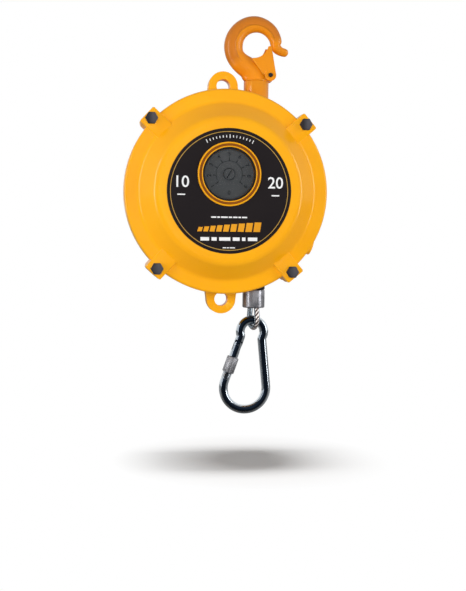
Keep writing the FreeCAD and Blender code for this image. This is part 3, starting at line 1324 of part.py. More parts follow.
def check_and_write():
    """Refuse a failed object or a broken shape, then write each sub-part."""
    doc.recompute()
    for item in doc.Objects:
        if "Invalid" in item.State or "Error" in item.State:
            raise RuntimeError(f"{item.Name} did not compute")
    os.makedirs("parts", exist_ok=True)
    broken = [piece.Label for piece in pieces if piece.Shape.isNull() or not piece.Shape.isValid()]
    if broken:
        raise RuntimeError(f"broken shapes: {broken}")
    for piece in pieces:
        piece.Shape.exportStep(f"parts/{piece.Label}.step")
        print(f"{piece.Label}: {len(piece.Shape.Solids)} solids, {piece.Shape.Volume:.0f} mm3")


fill_sheet()
make_front_case()
make_rear_case()
make_case_trim()
make_case_bolts()
make_shaft()
make_worm_wheel()
make_worm()
make_drum()
make_spring()
make_hook()
make_socket()
make_latch()
make_rope()
make_loop()
make_snap_hook()
check_and_write()
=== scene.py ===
# %% [markdown]
# # A spring balancer, finished in Blender
# The balancer hangs from its hook and carries a tool on a wire rope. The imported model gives
# every solid in its right place, in metres. This file gives each visible piece the rounding,
# the small parts and the finish of the real thing, and leaves the sizes as they are.
# %% Load the frame
import json
import math

import bmesh
import bpy
from mathutils import Matrix, Vector


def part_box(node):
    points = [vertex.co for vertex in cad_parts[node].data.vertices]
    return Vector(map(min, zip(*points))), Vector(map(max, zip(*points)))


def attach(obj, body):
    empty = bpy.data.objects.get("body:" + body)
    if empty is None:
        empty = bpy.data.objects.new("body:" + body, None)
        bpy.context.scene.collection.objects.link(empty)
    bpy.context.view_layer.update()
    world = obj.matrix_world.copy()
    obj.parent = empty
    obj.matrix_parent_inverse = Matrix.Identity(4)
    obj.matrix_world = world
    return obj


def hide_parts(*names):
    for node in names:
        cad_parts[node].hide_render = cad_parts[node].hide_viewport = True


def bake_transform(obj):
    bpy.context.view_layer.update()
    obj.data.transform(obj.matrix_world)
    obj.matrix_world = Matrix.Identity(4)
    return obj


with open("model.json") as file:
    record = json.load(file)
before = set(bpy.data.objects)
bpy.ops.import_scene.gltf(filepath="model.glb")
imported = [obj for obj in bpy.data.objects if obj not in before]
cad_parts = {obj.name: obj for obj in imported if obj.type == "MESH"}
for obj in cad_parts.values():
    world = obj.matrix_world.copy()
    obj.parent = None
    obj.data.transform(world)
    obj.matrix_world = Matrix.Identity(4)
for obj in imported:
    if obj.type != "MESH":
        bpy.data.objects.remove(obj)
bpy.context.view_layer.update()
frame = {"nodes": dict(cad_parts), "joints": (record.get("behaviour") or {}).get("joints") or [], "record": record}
MM = 0.001

# %% [markdown]
# ## Finishes
# Enamel, plate and moulded plastic differ in three things: how rough they are, how their colour
# drifts, and what the fingertip would feel. One builder makes all of them from two noise
# patterns on Object coordinates: a broad one for drift and a fine one for the feel. Small helpers
# come first: a colour, a noise, a new range for a value, a mix of two colours, and a sum.
# %% A builder for finishes


def rgb(red, green, blue):
    """Screen colour numbers from 0 to 255 as the linear colour that shaders expect."""
    def linear(value):
        value = value / 255
        return value / 12.92 if value <= 0.04045 else ((value + 0.055) / 1.055) ** 2.4
    return (linear(red), linear(green), linear(blue), 1.0)


def noise(nodes, links, coordinates, scale, detail=3.0, stretch=(1, 1, 1)):
    """A noise pattern on Object coordinates."""
    mapping = nodes.new("ShaderNodeMapping")
    mapping.inputs["Scale"].default_value = stretch
    texture = nodes.new("ShaderNodeTexNoise")
    texture.inputs["Scale"].default_value = scale
    texture.inputs["Detail"].default_value = detail
    links.new(coordinates.outputs["Object"], mapping.inputs["Vector"])
    links.new(mapping.outputs["Vector"], texture.inputs["Vector"])
    return texture.outputs["Fac"]


def remapped(nodes, links, value, low, high, start=0.3, end=0.7):
    """A value moved from the range start to end into the range low to high."""
    node = nodes.new("ShaderNodeMapRange")
    node.inputs["From Min"].default_value = start
    node.inputs["From Max"].default_value = end
    node.inputs["To Min"].default_value = low
    node.inputs["To Max"].default_value = high
    links.new(value, node.inputs["Value"])
    return node.outputs["Result"]


def blended(nodes, links, factor, first, second):
    """A mix of two colours, each a plain colour or a socket."""
    mix = nodes.new("ShaderNodeMix")
    mix.data_type = "RGBA"
    for socket, colour in ((mix.inputs[6], first), (mix.inputs[7], second)):
        if isinstance(colour, tuple):
            socket.default_value = colour
        else:
            links.new(colour, socket)
    links.new(factor, mix.inputs[0])
    return mix.outputs[2]


def calculated(nodes, links, kind, operation, *values):
    """A Math or VectorMath node fed with sockets or plain values."""
    node = nodes.new(f"ShaderNode{kind}")
    node.operation = operation
    for socket, value in zip(node.inputs, values):
        if isinstance(value, bpy.types.NodeSocket):
            links.new(value, socket)
        else:
            socket.default_value = value
    return node


def finish(name, colour, second, roughness, spread=0.06, metallic=0.0, coat=0.0, grain=400.0,
           height=0.02, drift=18.0, stretch=(1, 1, 1), edge=None, specular=0.5, rim_reflection=None):
    """A material: colour drifting to a second colour, rough by a spread, with a felt grain.
    An edge colour shows where the surface is sharply convex, and a painted reflection colour where it turns away."""
    material = bpy.data.materials.new(name)
    material.use_nodes = True
    nodes = material.node_tree.nodes
    links = material.node_tree.links
    shader = nodes["Principled BSDF"]
    coordinates = nodes.new("ShaderNodeTexCoord")
    broad = noise(nodes, links, coordinates, drift, 4.0)
    fine = noise(nodes, links, coordinates, grain, 3.0, stretch)
    paint = blended(nodes, links, remapped(nodes, links, broad, 0.0, 1.0), colour, second)
    # a lighter colour on sharply convex edges; on the rope's wires it is a painted highlight
    if edge is not None:
        geometry = nodes.new("ShaderNodeNewGeometry")
        convex_edge = remapped(nodes, links, geometry.outputs["Pointiness"], 0.0, 0.7, 0.54, 0.62)
        paint = blended(nodes, links, convex_edge, paint, edge)
    # painted reflection: a pale colour where the surface turns away from view
    if rim_reflection is not None:
        weight = nodes.new("ShaderNodeLayerWeight")
        weight.inputs["Blend"].default_value = 0.5
        turned = remapped(nodes, links, weight.outputs["Facing"], 0.0, 1.0, 0.1, 0.36)
        paint = blended(nodes, links, turned, paint, rim_reflection)
    links.new(paint, shader.inputs["Base Color"])
    links.new(remapped(nodes, links, fine, roughness - spread, roughness + spread),
              shader.inputs["Roughness"])
    bump = nodes.new("ShaderNodeBump")
    bump.inputs["Distance"].default_value = height * MM
    links.new(fine, bump.inputs["Height"])
    links.new(bump.outputs["Normal"], shader.inputs["Normal"])
    shader.inputs["Metallic"].default_value = metallic
    shader.inputs["Coat Weight"].default_value = coat
    shader.inputs["Coat Roughness"].default_value = 0.12
    shader.inputs["Specular IOR Level"].default_value = specular
    return material


# %% [markdown]
# The case is die-cast alloy in a thick glossy enamel, with the faint orange peel of spraying.
# The forged hook wears a redder enamel, a little duller. The zinc plate of the snap hook gets painted
# reflections: its colour is a dark blue-grey where it faces you, for the dark room it would mirror, and a
# Layer Weight node turns it to a pale one towards the rim, for the bright lamps it would mirror.
# %% Mix the finishes
FINISH = {
    "yellow_enamel": finish("enamel_yellow", rgb(254, 178, 10), rgb(250, 170, 14), 0.32, 0.05, coat=0.25,
                            grain=520.0, height=0.03, edge=rgb(255, 196, 50), specular=0.2),
    "orange_enamel": finish("enamel_orange", rgb(242, 152, 16), rgb(230, 136, 22), 0.36, 0.06, coat=0.2,
                            grain=420.0, height=0.05, edge=rgb(246, 170, 50), specular=0.2),
    "black_label": finish("label_black", rgb(35, 31, 32), rgb(32, 28, 30), 0.5, 0.05, grain=900.0,
                          height=0.008, specular=0.06),
    "dial_grey": finish("dial_moulding", rgb(88, 89, 89), rgb(78, 80, 80), 0.5, 0.08, grain=800.0,
                        height=0.02, specular=0.15),
    "black_steel": finish("bolt_blackened", rgb(44, 42, 46), rgb(32, 31, 35), 0.45, 0.1, metallic=0.3,
                          grain=500.0, height=0.04, edge=rgb(92, 90, 96), specular=0.3),
    "plain_steel": finish("steel_machined", rgb(168, 170, 174), rgb(150, 152, 158), 0.32, 0.08, metallic=1.0,
                          grain=700.0, height=0.008, stretch=(1, 6, 1)),
    # painted reflection: dark blue-grey where it faces you, pale towards the rim
    "plated_steel": finish("zinc_plate_painted_reflection", rgb(30, 40, 54), rgb(22, 30, 42), 0.14, 0.05, metallic=1.0,
                           grain=600.0, height=0.004, drift=60.0, rim_reflection=rgb(222, 230, 236)),
    "spring_steel": finish("steel_blued", rgb(92, 96, 104), rgb(74, 76, 86), 0.3, 0.06, metallic=1.0,
                           grain=500.0, height=0.006),
    "gear_bronze": finish("bronze_machined", rgb(196, 150, 88), rgb(178, 132, 74), 0.34, 0.07, metallic=1.0,
                          grain=500.0, height=0.01),
    "cast_alloy": finish("alloy_cast", rgb(176, 178, 180), rgb(158, 160, 164), 0.5, 0.1, metallic=0.9,
                         grain=450.0, height=0.05),
    "brushed_alloy": finish("alloy_drawn", rgb(178, 178, 183), rgb(112, 112, 118), 0.34, 0.12, metallic=0.9,
                            grain=900.0, height=0.03, drift=90.0, stretch=(1, 1, 0.03)),
    # painted highlight: the pale edge colour lights the crowns of the strands
    "rope_steel": finish("rope_wires", rgb(168, 146, 132), rgb(84, 62, 52), 0.34, 0.1, metallic=0.85,
                         grain=1500.0, height=0.06, drift=500.0, edge=rgb(226, 216, 208)),
    "black_rubber": finish("rubber_moulded", rgb(34, 34, 35), rgb(26, 26, 27), 0.62, 0.08, grain=600.0,
                           height=0.03, specular=0.2),
    "gasket_sheet": finish("gasket_fibre", rgb(70, 66, 62), rgb(54, 52, 50), 0.8, 0.05, grain=700.0,
                           height=0.05),
    "guide_nylon": finish("nylon_turned", rgb(42, 42, 44), rgb(34, 34, 36), 0.5, 0.08, grain=600.0,
                          height=0.01, specular=0.2),
}
ZINC_DULL = finish("zinc_knurled", rgb(140, 140, 145), rgb(116, 117, 122), 0.42, 0.08, metallic=0.85,
                   grain=700.0, height=0.02, edge=rgb(214, 214, 216))
ZINC_SHEET = finish("zinc_sheet", rgb(150, 160, 168), rgb(112, 124, 134), 0.3, 0.1, metallic=0.85,
                    grain=500.0, height=0.02, drift=120.0, edge=rgb(220, 226, 230))
INK_GOLD = finish("ink_gold", rgb(200, 160, 78), rgb(186, 146, 66), 0.42, 0.06, grain=900.0, height=0.006,
                  specular=0.2)
INK_ORANGE = finish("ink_orange", rgb(236, 164, 40), rgb(224, 150, 32), 0.42, 0.06, grain=900.0,
                    height=0.006, specular=0.2)
INK_WHITE = finish("ink_white", rgb(244, 244, 244), rgb(232, 232, 232), 0.42, 0.06, grain=900.0,
                   height=0.006)
# painted shade for the groove round the window
GROOVE_SHADE = finish("groove_shade_brown", rgb(140, 80, 22), rgb(120, 66, 18), 0.5, 0.08, grain=500.0, height=0.03,
                 specular=0.2)
# also the painted shade round the dial's screw and in its slot
RELIEF_AND_SHADE = finish("dial_relief_and_shade", rgb(30, 31, 31), rgb(24, 25, 25), 0.42, 0.08, grain=800.0, height=0.01,
                specular=0.3)
print("finishes by slot:", len(FINISH))

# %% [markdown]
# Wires of a rope shine along one strand and lie in shadow along the next. The rope pieces carry
# an attribute, strand, that runs from 0 to 1 across each pair of strands, and this finish turns
# it into dark and bright stripes.
# %% Finish of the laid rope


def laid_rope():
    material = finish("rope_laid", rgb(168, 146, 132), rgb(150, 130, 118), 0.34, 0.1, metallic=0.7,
                      grain=1500.0, height=0.06)
    nodes = material.node_tree.nodes
    links = material.node_tree.links
    strand = nodes.new("ShaderNodeAttribute")
    strand.attribute_name = "strand"
    bright = remapped(nodes, links, strand.outputs["Fac"], 0.0, 1.0, 0.3, 0.7)
    links.new(blended(nodes, links, bright, rgb(70, 46, 38), rgb(236, 230, 226)),
              nodes["Principled BSDF"].inputs["Base Color"])
    return material


ROPE_LAID = laid_rope()
print("rope finish:", ROPE_LAID.name)

# %% [markdown]
# The cover over the dial is a thin clear moulding. Real clear plastic bends light a little, but a
# thin flat pane hardly shows it, so a see-through shader with a clear reflection on top is enough,
# and it lets the lamps reach the dial.
# %% Clear cover


def clear_cover():
    material = bpy.data.materials.new("cover_clear")
    material.use_nodes = True
    nodes = material.node_tree.nodes
    links = material.node_tree.links
    shader = nodes["Principled BSDF"]
    coordinates = nodes.new("ShaderNodeTexCoord")
    shader.inputs["Base Color"].default_value = rgb(40, 48, 60)
    shader.inputs["Specular IOR Level"].default_value = 0.1
    links.new(remapped(nodes, links, noise(nodes, links, coordinates, 60.0), 0.03, 0.07),
              shader.inputs["Roughness"])
    shader.inputs["Alpha"].default_value = 0.1
    shader.inputs["Coat Weight"].default_value = 0.15
    shader.inputs["Coat Roughness"].default_value = 0.02
    return material


FINISH["clear_cover"] = clear_cover()
print("cover finish:", FINISH["clear_cover"].name)

# %% [markdown]
# ## Dress the carried-over solids
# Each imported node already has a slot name. Its finish goes straight onto it, so that even the
# hidden wheels and springs inside are finished. The pieces that show are then made again with
# rounded edges.
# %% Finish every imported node
SLOT = {entry["node"]: entry["material_slot"] for entry in frame["record"]["subparts"]}
for node, solid in frame["nodes"].items():
    solid.data.materials.clear()
    solid.data.materials.append(FINISH[SLOT[node]])
print("finished nodes:", len(SLOT))

# %% [markdown]
# ## Tools for making pieces
# `finished` turns a bmesh into a piece at the origin, smooth except at its sharp edges, and lets it
# ride on its body. `polished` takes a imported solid, joins its loose triangles, melts the flat
# ones together and rounds the edges that a chooser picks. Both return the piece.
# %% Piece tools
NODE_BODY = {node: body for body, names in frame["record"]["behaviour"]["bodies"].items() for node in names}


def finished(work, name, material, body, sharp=32.0):
    """A bmesh made into a smooth piece that rides on its body."""
    mesh = bpy.data.meshes.new(name)
    work.to_mesh(mesh)
    work.free()
    mesh.shade_smooth()
    mesh.set_sharp_from_angle(angle=math.radians(sharp))
    mesh.materials.append(material)
    piece = bpy.data.objects.new(name, mesh)
    bpy.context.scene.collection.objects.link(piece)
    if body is not None:
        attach(piece, body)
    print(name, "has", len(mesh.polygons), "faces")
    return piece


def joined(node):
    """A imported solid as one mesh, with its loose triangles merged."""
    work = bmesh.new()
    work.from_mesh(frame["nodes"][node].data)
    bmesh.ops.remove_doubles(work, verts=work.verts, dist=0.002 * MM)
    return work


def rounded(work, edges, offset):
    """Bevel some edges to a round of a width in mm."""
    bmesh.ops.bevel(work, geom=edges, offset=offset * MM, offset_type="OFFSET", profile=0.5, segments=3,
                    affect="EDGES", clamp_overlap=True, material=-1)


def sharper(angle):
    """A chooser of edges that turn by more than an angle."""
    return lambda edge: edge.calc_face_angle(0) > math.radians(angle)


def polished(node, rounding=0.0, chosen=sharper(35), sharp=32.0, flat=0.5):
    """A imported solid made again, with its chosen edges rounded; it replaces the node."""
    work = joined(node)
    if flat:
        bmesh.ops.dissolve_limit(work, angle_limit=math.radians(flat), verts=work.verts, edges=work.edges)
    if rounding:
        rounded(work, [edge for edge in work.edges if len(edge.link_faces) == 2 and chosen(edge)], rounding)
    piece = finished(work, f"{node}_finished", FINISH[SLOT[node]], NODE_BODY[node], sharp)
    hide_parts(node)
    return piece


print("bodies:", len(set(NODE_BODY.values())))

# %% [markdown]
# Most of the balancer is turned or die-cast round. `softened` rounds the corners of an outline, and
# `spun` turns an outline round an axis, which is how a lathe or a round die makes the piece.
# `outward` turns the faces the right way at the end, since a spin can leave them inside out.
# %% Turning tools


def softened(outline, radii, steps=5):
    """Replace each corner of an outline by an arc, where its radius isn't zero."""
    points = []
    for index, corner in enumerate(outline):
        if not radii[index]:
            points.append(corner)
            continue
        here = Vector(corner)
        before = (Vector(outline[index - 1]) - here).normalized()
        after = (Vector(outline[(index + 1) % len(outline)]) - here).normalized()
        half = before.angle(after) / 2
        middle = here + (before + after).normalized() * radii[index] / math.sin(half)
        reach = radii[index] / math.tan(half)
        start = (here + before * reach - middle).normalized()
        end = (here + after * reach - middle).normalized()
        for step in range(steps + 1):
            points.append(tuple(middle + start.slerp(end, step / steps) * radii[index]))
    return points


def spun(work, outline, centre, axis, steps=96, closed=True):
    """Turn an outline of (radius, distance along the axis) points, in mm, into a mesh."""
    axis = Vector(axis).normalized()
    across = axis.orthogonal().normalized()
    points = [work.verts.new(Vector(centre) + across * (r * MM) + axis * (a * MM)) for r, a in outline]
    pairs = zip(points, points[1:] + points[:1]) if closed else zip(points, points[1:])
    edges = [work.edges.new(pair) for pair in pairs]
    bmesh.ops.spin(work, geom=points + edges, cent=Vector(centre), axis=axis, dvec=(0, 0, 0),
                   angle=math.tau, steps=steps, use_merge=True, use_duplicate=False)
    bmesh.ops.remove_doubles(work, verts=work.verts, dist=0.0005 * MM)


def outward(work):
    """Turn every face of a closed mesh outwards."""
    bmesh.ops.recalc_face_normals(work, faces=work.faces)


# %% [markdown]
# ## Where things are
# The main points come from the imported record, so they follow the model: the shaft's line from the
# drum's joint, and the case's centre from the box of the label.
# %% Main points
JOINT = {joint["name"]: joint for joint in frame["joints"]}
SHAFT = Vector(JOINT["drum_spin"]["pos_m"])
SHAFT.y = 0  # the distances along Y below are measured from the rope's plane
label_low, label_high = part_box("label_plate")
CENTRE = Vector(((label_low.x + label_high.x) / 2, 0, (label_low.z + label_high.z) / 2))
LABEL_FRONT = label_low.y
ALONG_Y = (0, 1, 0)
print("shaft", SHAFT, "case centre", CENTRE, "label front", LABEL_FRONT)

# %% [markdown]
# ## The front of the case
# The front is a shallow dish: flat face, cone, flange. Pouring and polishing leave soft corners, so
# the outline is softened and spun. It is left open in the middle.
# %% Dish of the front
STEPS = 180
FACE = 74           # radius where the flat face is cut open
FACE_FRONT = -72
FACE_BACK = -67
FLANGE = 119.5
FLANGE_FRONT = -52
FLANGE_BACK = -47
RIM = 112.5         # radius of the hollow behind the flange
CASE_JOINT = -30    # where the two castings meet
dish = [(FACE, FACE_FRONT), (84.2, FACE_FRONT), (103.5, FLANGE_FRONT), (FLANGE, FLANGE_FRONT),
        (FLANGE, CASE_JOINT), (RIM, CASE_JOINT), (RIM, FLANGE_BACK), (99.5, FLANGE_BACK), (80, FACE_BACK),
        (FACE, FACE_BACK)]
dish_radii = [0, 11, 7, 3, 0.5, 0, 2, 2, 2, 0]
work = bmesh.new()
spun(work, softened(dish, dish_radii, 6), CENTRE, ALONG_Y, STEPS, closed=False)
print("dish faces:", len(work.faces))

# %% [markdown]
# The window sits off the centre of the face. So a circle is added for its hole, at the front and at
# the back, and each is bridged to the open middle of the dish.
# %% Face, bridged to the window's hole
HOLE = 35.8


def rim_at(work, centre, radius, y):
    """The boundary edges of a mesh on a circle."""
    found = []
    for edge in work.edges:
        if len(edge.link_faces) < 2 and all(abs(vertex.co.y - y * MM) < 0.01 * MM and abs(
                math.hypot(vertex.co.x - centre.x, vertex.co.z - centre.z) - radius * MM) < 0.02 * MM
                for vertex in edge.verts):
            found.append(edge)
    return found


upright = Matrix.Rotation(math.radians(90), 4, "X")
for y in (FACE_FRONT, FACE_BACK):
    bmesh.ops.create_circle(work, cap_ends=False, segments=STEPS, radius=HOLE * MM,
                            matrix=Matrix.Translation((SHAFT.x, y * MM, SHAFT.z)) @ upright)
hole_front = rim_at(work, SHAFT, HOLE, FACE_FRONT)
hole_back = rim_at(work, SHAFT, HOLE, FACE_BACK)
dish_front = rim_at(work, CENTRE, FACE, FACE_FRONT)
dish_back = rim_at(work, CENTRE, FACE, FACE_BACK)
bmesh.ops.bridge_loops(work, edges=hole_front + dish_front)
bmesh.ops.bridge_loops(work, edges=hole_back + dish_back)
bmesh.ops.bridge_loops(work, edges=hole_front + hole_back)
print("open edges:", sum(edge.is_boundary for edge in work.edges))

# %% [markdown]
# The window's surround is one more turning: a proud ring with a groove in it, a ledge for the clear
# cover, and a cup for the dial.
# %% Surround of the window
ring_front = -74
ledge = -71.6
groove_floor = -71.9
cup_floor = -61
surround = [(36.6, -71), (36.6, ring_front), (35.2, ring_front), (34.7, groove_floor), (32.5, groove_floor),
            (32.0, ring_front), (31, ring_front), (31, ledge), (29.4, ledge), (29.4, cup_floor),
            (11, cup_floor), (11, -48), (17, -48), (17, -56.5), (33.4, -56.5), (33.4, -71)]
surround_radii = [0, 0.8, 0.25, 0.4, 0.4, 0.25, 0.3, 0, 0.2, 1.0, 0, 0, 0, 1.5, 2, 0]
spun(work, softened(surround, surround_radii, 3), SHAFT, ALONG_Y, 128)
print("faces with the surround:", len(work.faces))

# %% [markdown]
# Four ears stand a little proud of the flange. Each starts at the case joint as a flat outline with
# two round corners, is drawn out to the front, and has its front edges bevelled.
# %% Ears of the front
BOLT_ANGLES = (41, 137, 228, 310)
EAR_FRONT = -55


def ear(work, angle, front, back, inner=98.0, outer=129.0, half=11.5):
    """One bolt ear at an angle round the case, with sizes in mm from the case's centre."""
    outline = softened([(inner, -half), (outer, -half), (outer, half), (inner, half)], [0, 2, 2, 0])
    turn = math.radians(angle)
    along = Vector((math.cos(turn), 0, math.sin(turn)))
    across = Vector((-math.sin(turn), 0, math.cos(turn)))
    points = [work.verts.new(CENTRE + along * (r * MM) + across * (s * MM) + Vector((0, back * MM, 0)))
              for r, s in outline]
    face = work.faces.new(points)
    out = bmesh.ops.extrude_face_region(work, geom=[face])["geom"]
    moved = [item for item in out if isinstance(item, bmesh.types.BMVert)]
    bmesh.ops.translate(work, verts=moved, vec=(0, (front - back) * MM, 0))
    rounded(work, [item for item in out if isinstance(item, bmesh.types.BMEdge)], 1.0)


for angle in BOLT_ANGLES:
    ear(work, angle, EAR_FRONT, CASE_JOINT)
print("ears:", len(BOLT_ANGLES))

# %% [markdown]
# The adjusting socket leaves the rim through a short boss on the worm's axis.
# %% Boss of the adjusting socket
WORM = JOINT["worm_turn"]
WORM_AXIS = Vector(WORM["axis"]).normalized()
WORM_AXIS *= math.copysign(1, WORM_AXIS.x)
socket_low, socket_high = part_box("worm_bush")
BUSH = (socket_low + socket_high) / 2
boss = [(8, -12), (9.7, -12), (9.7, 11), (8, 11)]
spun(work, softened(boss, [0, 0, 1.2, 0.5], 3), BUSH, WORM_AXIS, 48)
outward(work)
front = finished(work, "front_case_finished", FINISH["yellow_enamel"], "case_body", 30.0)
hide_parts("front_case")
print("bush at", BUSH)

# %% [markdown]
# ## Solids that only need their edges softened
# The rear casting, the bolts and the small fittings are right as imported. A narrow bevel along their
# sharp edges catches the light the way a real edge does. The table gives each one its bevel in mm,
# how sharp an edge has to be to get it, and up to which angle faces are merged as flat. Bent sheet,
# wire and the clear cover keep all their fine faces.
# %% Rear casting, bolts and fittings
FLAT = 0.5
EDGES = {
    "case_bolts": (0.7, 40, FLAT), "window_cover": (0.0, 35, 0), "label_plate": (0.15, 60, FLAT),
    "dial_plate": (0.4, 60, FLAT), "dial_screw": (0.35, 60, FLAT), "hook_socket": (0.5, 50, FLAT),
    "rope_guide": (0.5, 50, FLAT), "rubber_buffer": (0.8, 30, FLAT), "rope_stop": (0.5, 30, FLAT),
    "thimble": (0.25, 60, 0), "latch": (0.55, 50, 0), "latch_pin": (0.4, 50, FLAT),
    "socket_pin": (0.5, 50, FLAT), "snap_hook": (0.45, 60, 0), "gate": (0.35, 60, 0),
    "lock_sleeve": (0.2, 60, FLAT), "gate_rivet": (0.3, 50, FLAT),
}
polished("rear_case", 0.9, sharper(40), 28.0)
piece = {node: polished(node, width, sharper(angle), flat=flat)
         for node, (width, angle, flat) in EDGES.items()}

# %% [markdown]
# Three of them wear another finish than their metal's usual one: the socket's pin is painted over,
# the sleeve is knurled and dull, and the thimble is bare zinc sheet.
# %% Finishes of their own
piece["socket_pin"].data.materials[0] = FINISH["orange_enamel"]
piece["lock_sleeve"].data.materials[0] = ZINC_DULL
piece["thimble"].data.materials[0] = ZINC_SHEET
print("fittings made again:", len(piece))

# %% [markdown]
# ## The forged hook
# The hook is hammered between two dies. They leave a crease round its bowl and a flatter outer band,
# too shallow to be worth more faces. So the enamel gets a step in its bump, and painted shade, a darker
# tone, on the outer band. The band is measured from the middle of the bowl and kept to its top and its closed
# side.
# %% Hook, its crease and its painted shade
BOWL = (-2.4 * MM, 0, -17.0 * MM)
CREASE = (23.6 * MM, 25.4 * MM)
BAND_SIDE = (-0.55, 0, 1)
BAND_END = (-27.0 * MM, -17.0 * MM)
CREASE_DEPTH = 1.6 * MM


def crease_and_shade(material):
    """Adds the forging's crease to a finish: a groove round the bowl, and painted shade darkening the outer band.
    """
    forging = material.copy()
    forging.name = "enamel_orange_shaded_band"
    nodes = forging.node_tree.nodes
    links = forging.node_tree.links
    shader = nodes["Principled BSDF"]
    coordinates = nodes.new("ShaderNodeTexCoord").outputs["Object"]
    apart = calculated(nodes, links, "VectorMath", "SUBTRACT", coordinates, BOWL)
    flat = calculated(nodes, links, "VectorMath", "MULTIPLY", apart.outputs[0], (1, 0, 1))
    reach = calculated(nodes, links, "VectorMath", "LENGTH", flat.outputs[0])
    outer = remapped(nodes, links, reach.outputs["Value"], 0.0, 1.0, *CREASE)
    above = calculated(nodes, links, "VectorMath", "DOT_PRODUCT", coordinates, BAND_SIDE)
    bow = remapped(nodes, links, above.outputs["Value"], 0.0, 1.0, *BAND_END)
    band = calculated(nodes, links, "Math", "MULTIPLY", outer, bow).outputs[0]
    paint = shader.inputs["Base Color"].links[0].from_socket
    # painted shade: the outer band gets a darker orange
    links.new(blended(nodes, links, band, paint, rgb(208, 120, 26)), shader.inputs["Base Color"])
    step = nodes.new("ShaderNodeBump")
    step.invert = True
    step.inputs["Distance"].default_value = CREASE_DEPTH
    links.new(band, step.inputs["Height"])
    links.new(shader.inputs["Normal"].links[0].from_socket, step.inputs["Normal"])
    links.new(step.outputs["Normal"], shader.inputs["Normal"])
    return forging


hook = polished("hook", flat=0, sharp=38.0)
hook.data.materials[0] = crease_and_shade(FINISH["orange_enamel"])

# %% [markdown]
# ## Printing on the label
# The label is a black disc with a thin gold ring. Print is a very thin raised film: every mark is
# cut from an outline and lifted a tenth of a millimetre. The ratings are plain numbers; the other
# lines are plain bars, ticks and dashes.
# %% Marks
FILM = 0.1


def facing_front(x, z, lift=0.0, spin=0.0, base=None):
    """The place of a flat mark drawn upright in XY: x and z in mm from the case's centre."""
    level = LABEL_FRONT if base is None else base
    where = Vector((CENTRE.x + x * MM, level - lift * MM, CENTRE.z + z * MM))
    return Matrix.Translation(where) @ Matrix.Rotation(spin, 4, "Y") @ Matrix.Rotation(
        math.radians(90), 4, "X")


def add_bar(work, x, z, width, height, spin=0.0, lift=FILM / 2, base=None, thick=FILM, slant=0.0):
    """A flat bar as a thin plate, in mm; a slant leans its ends."""
    made = bmesh.ops.create_grid(work, x_segments=1, y_segments=1, size=0.5)["verts"]
    for vertex in made:
        vertex.co.x = vertex.co.x * width * MM + vertex.co.y * slant * MM
        vertex.co.y *= height * MM
    faces = list({face for vertex in made for face in vertex.link_faces})
    out = bmesh.ops.extrude_face_region(work, geom=faces)["geom"]
    lifted = [item for item in out if isinstance(item, bmesh.types.BMVert)]
    bmesh.ops.translate(work, verts=lifted, vec=(0, 0, thick * MM))
    place = facing_front(x, z, lift, spin, base)
    bmesh.ops.transform(work, matrix=place, verts=list(set(made + lifted)))


def add_number(work, text, x, z, height, base=None, spin=0.0, lift=FILM / 2, weight=0.02, thick=FILM):
    """Plain figures as a thin plate, centred on a place."""
    curve = bpy.data.curves.new("figures", "FONT")
    curve.body = text
    curve.size = height * MM / 0.7
    curve.align_x = "CENTER"
    curve.align_y = "CENTER"
    curve.offset = weight * height * MM
    curve.extrude = thick / 2 * MM
    curve.resolution_u = 4
    holder = bpy.data.objects.new("figures", curve)
    bpy.context.scene.collection.objects.link(holder)
    bpy.context.view_layer.update()
    mesh = bpy.data.meshes.new_from_object(holder.evaluated_get(bpy.context.evaluated_depsgraph_get()))
    bpy.data.objects.remove(holder)
    bpy.data.curves.remove(curve)
    mesh.transform(facing_front(x, z, lift, spin, base))
    work.from_mesh(mesh)
    bpy.data.meshes.remove(mesh)


def printed(work, name, material, body="case_body"):
    """A set of marks made into one piece on the label."""
    bmesh.ops.remove_doubles(work, verts=work.verts, dist=0.001 * MM)
    outward(work)
    return finished(work, name, material, body, 30.0)


# %% [markdown]
# White marks: the two ratings with a short bar below each, a row of ticks along the top, and
# three rows of dashes like lines of small print.
# %% White print
TICK_RADIUS = 62.5
TICK_APART = 3.6  # degrees
work = bmesh.new()
for text, side in (("10", -55.5), ("20", 53.5)):
    add_number(work, text, side, 9.5, 13.0, weight=0.012)
    add_bar(work, side, -4.5, 9.0, 1.4)
for step in range(-7, 8):
    lean = math.radians(step * TICK_APART)
    tall = 4.2 if step % 7 == 0 else 2.6
    add_bar(work, TICK_RADIUS * math.sin(lean), TICK_RADIUS * math.cos(lean), 0.9, tall, spin=lean)
rows = ((-30.0, 1.6, (6, 3, 8, 4, 5, 3, 6)), (-55.0, 4.0, (10, 6, 13, 8, 4, 11)), (-65.0, 1.2, (4, 2.5, 6)))
for z, tall, widths in rows:
    gap = tall * 0.7
    x = -(sum(widths) + gap * (len(widths) - 1)) / 2
    for width in widths:
        add_bar(work, x + width / 2, z, width, tall)
        x += width + gap
printed(work, "label_white_print", INK_WHITE)

# %% [markdown]
# Orange marks: a row of leaning blocks that grow to the right, like a load scale.
# %% Orange print
BLOCKS_LEFT = -36.0
BLOCKS_FOOT = -46.5
work = bmesh.new()
x = BLOCKS_LEFT
for number in range(9):
    width = 5.0 + number * 0.35
    tall = 5.0 + number * 0.75
    add_bar(work, x + width / 2, BLOCKS_FOOT + tall / 2, width, tall, slant=1.6)
    x += width + 1.9
printed(work, "label_orange_print", INK_ORANGE)

# %% [markdown]
# The gold ring is a thin band near the label's edge.
# %% Gold ring
work = bmesh.new()
label_y = LABEL_FRONT / MM
spun(work, [(67.6, label_y + 0.05), (67.6, label_y - 0.08), (68.3, label_y - 0.08), (68.3, label_y + 0.05)],
     CENTRE, ALONG_Y, 160)
outward(work)
finished(work, "label_gold_ring", INK_GOLD, "case_body", 30.0)

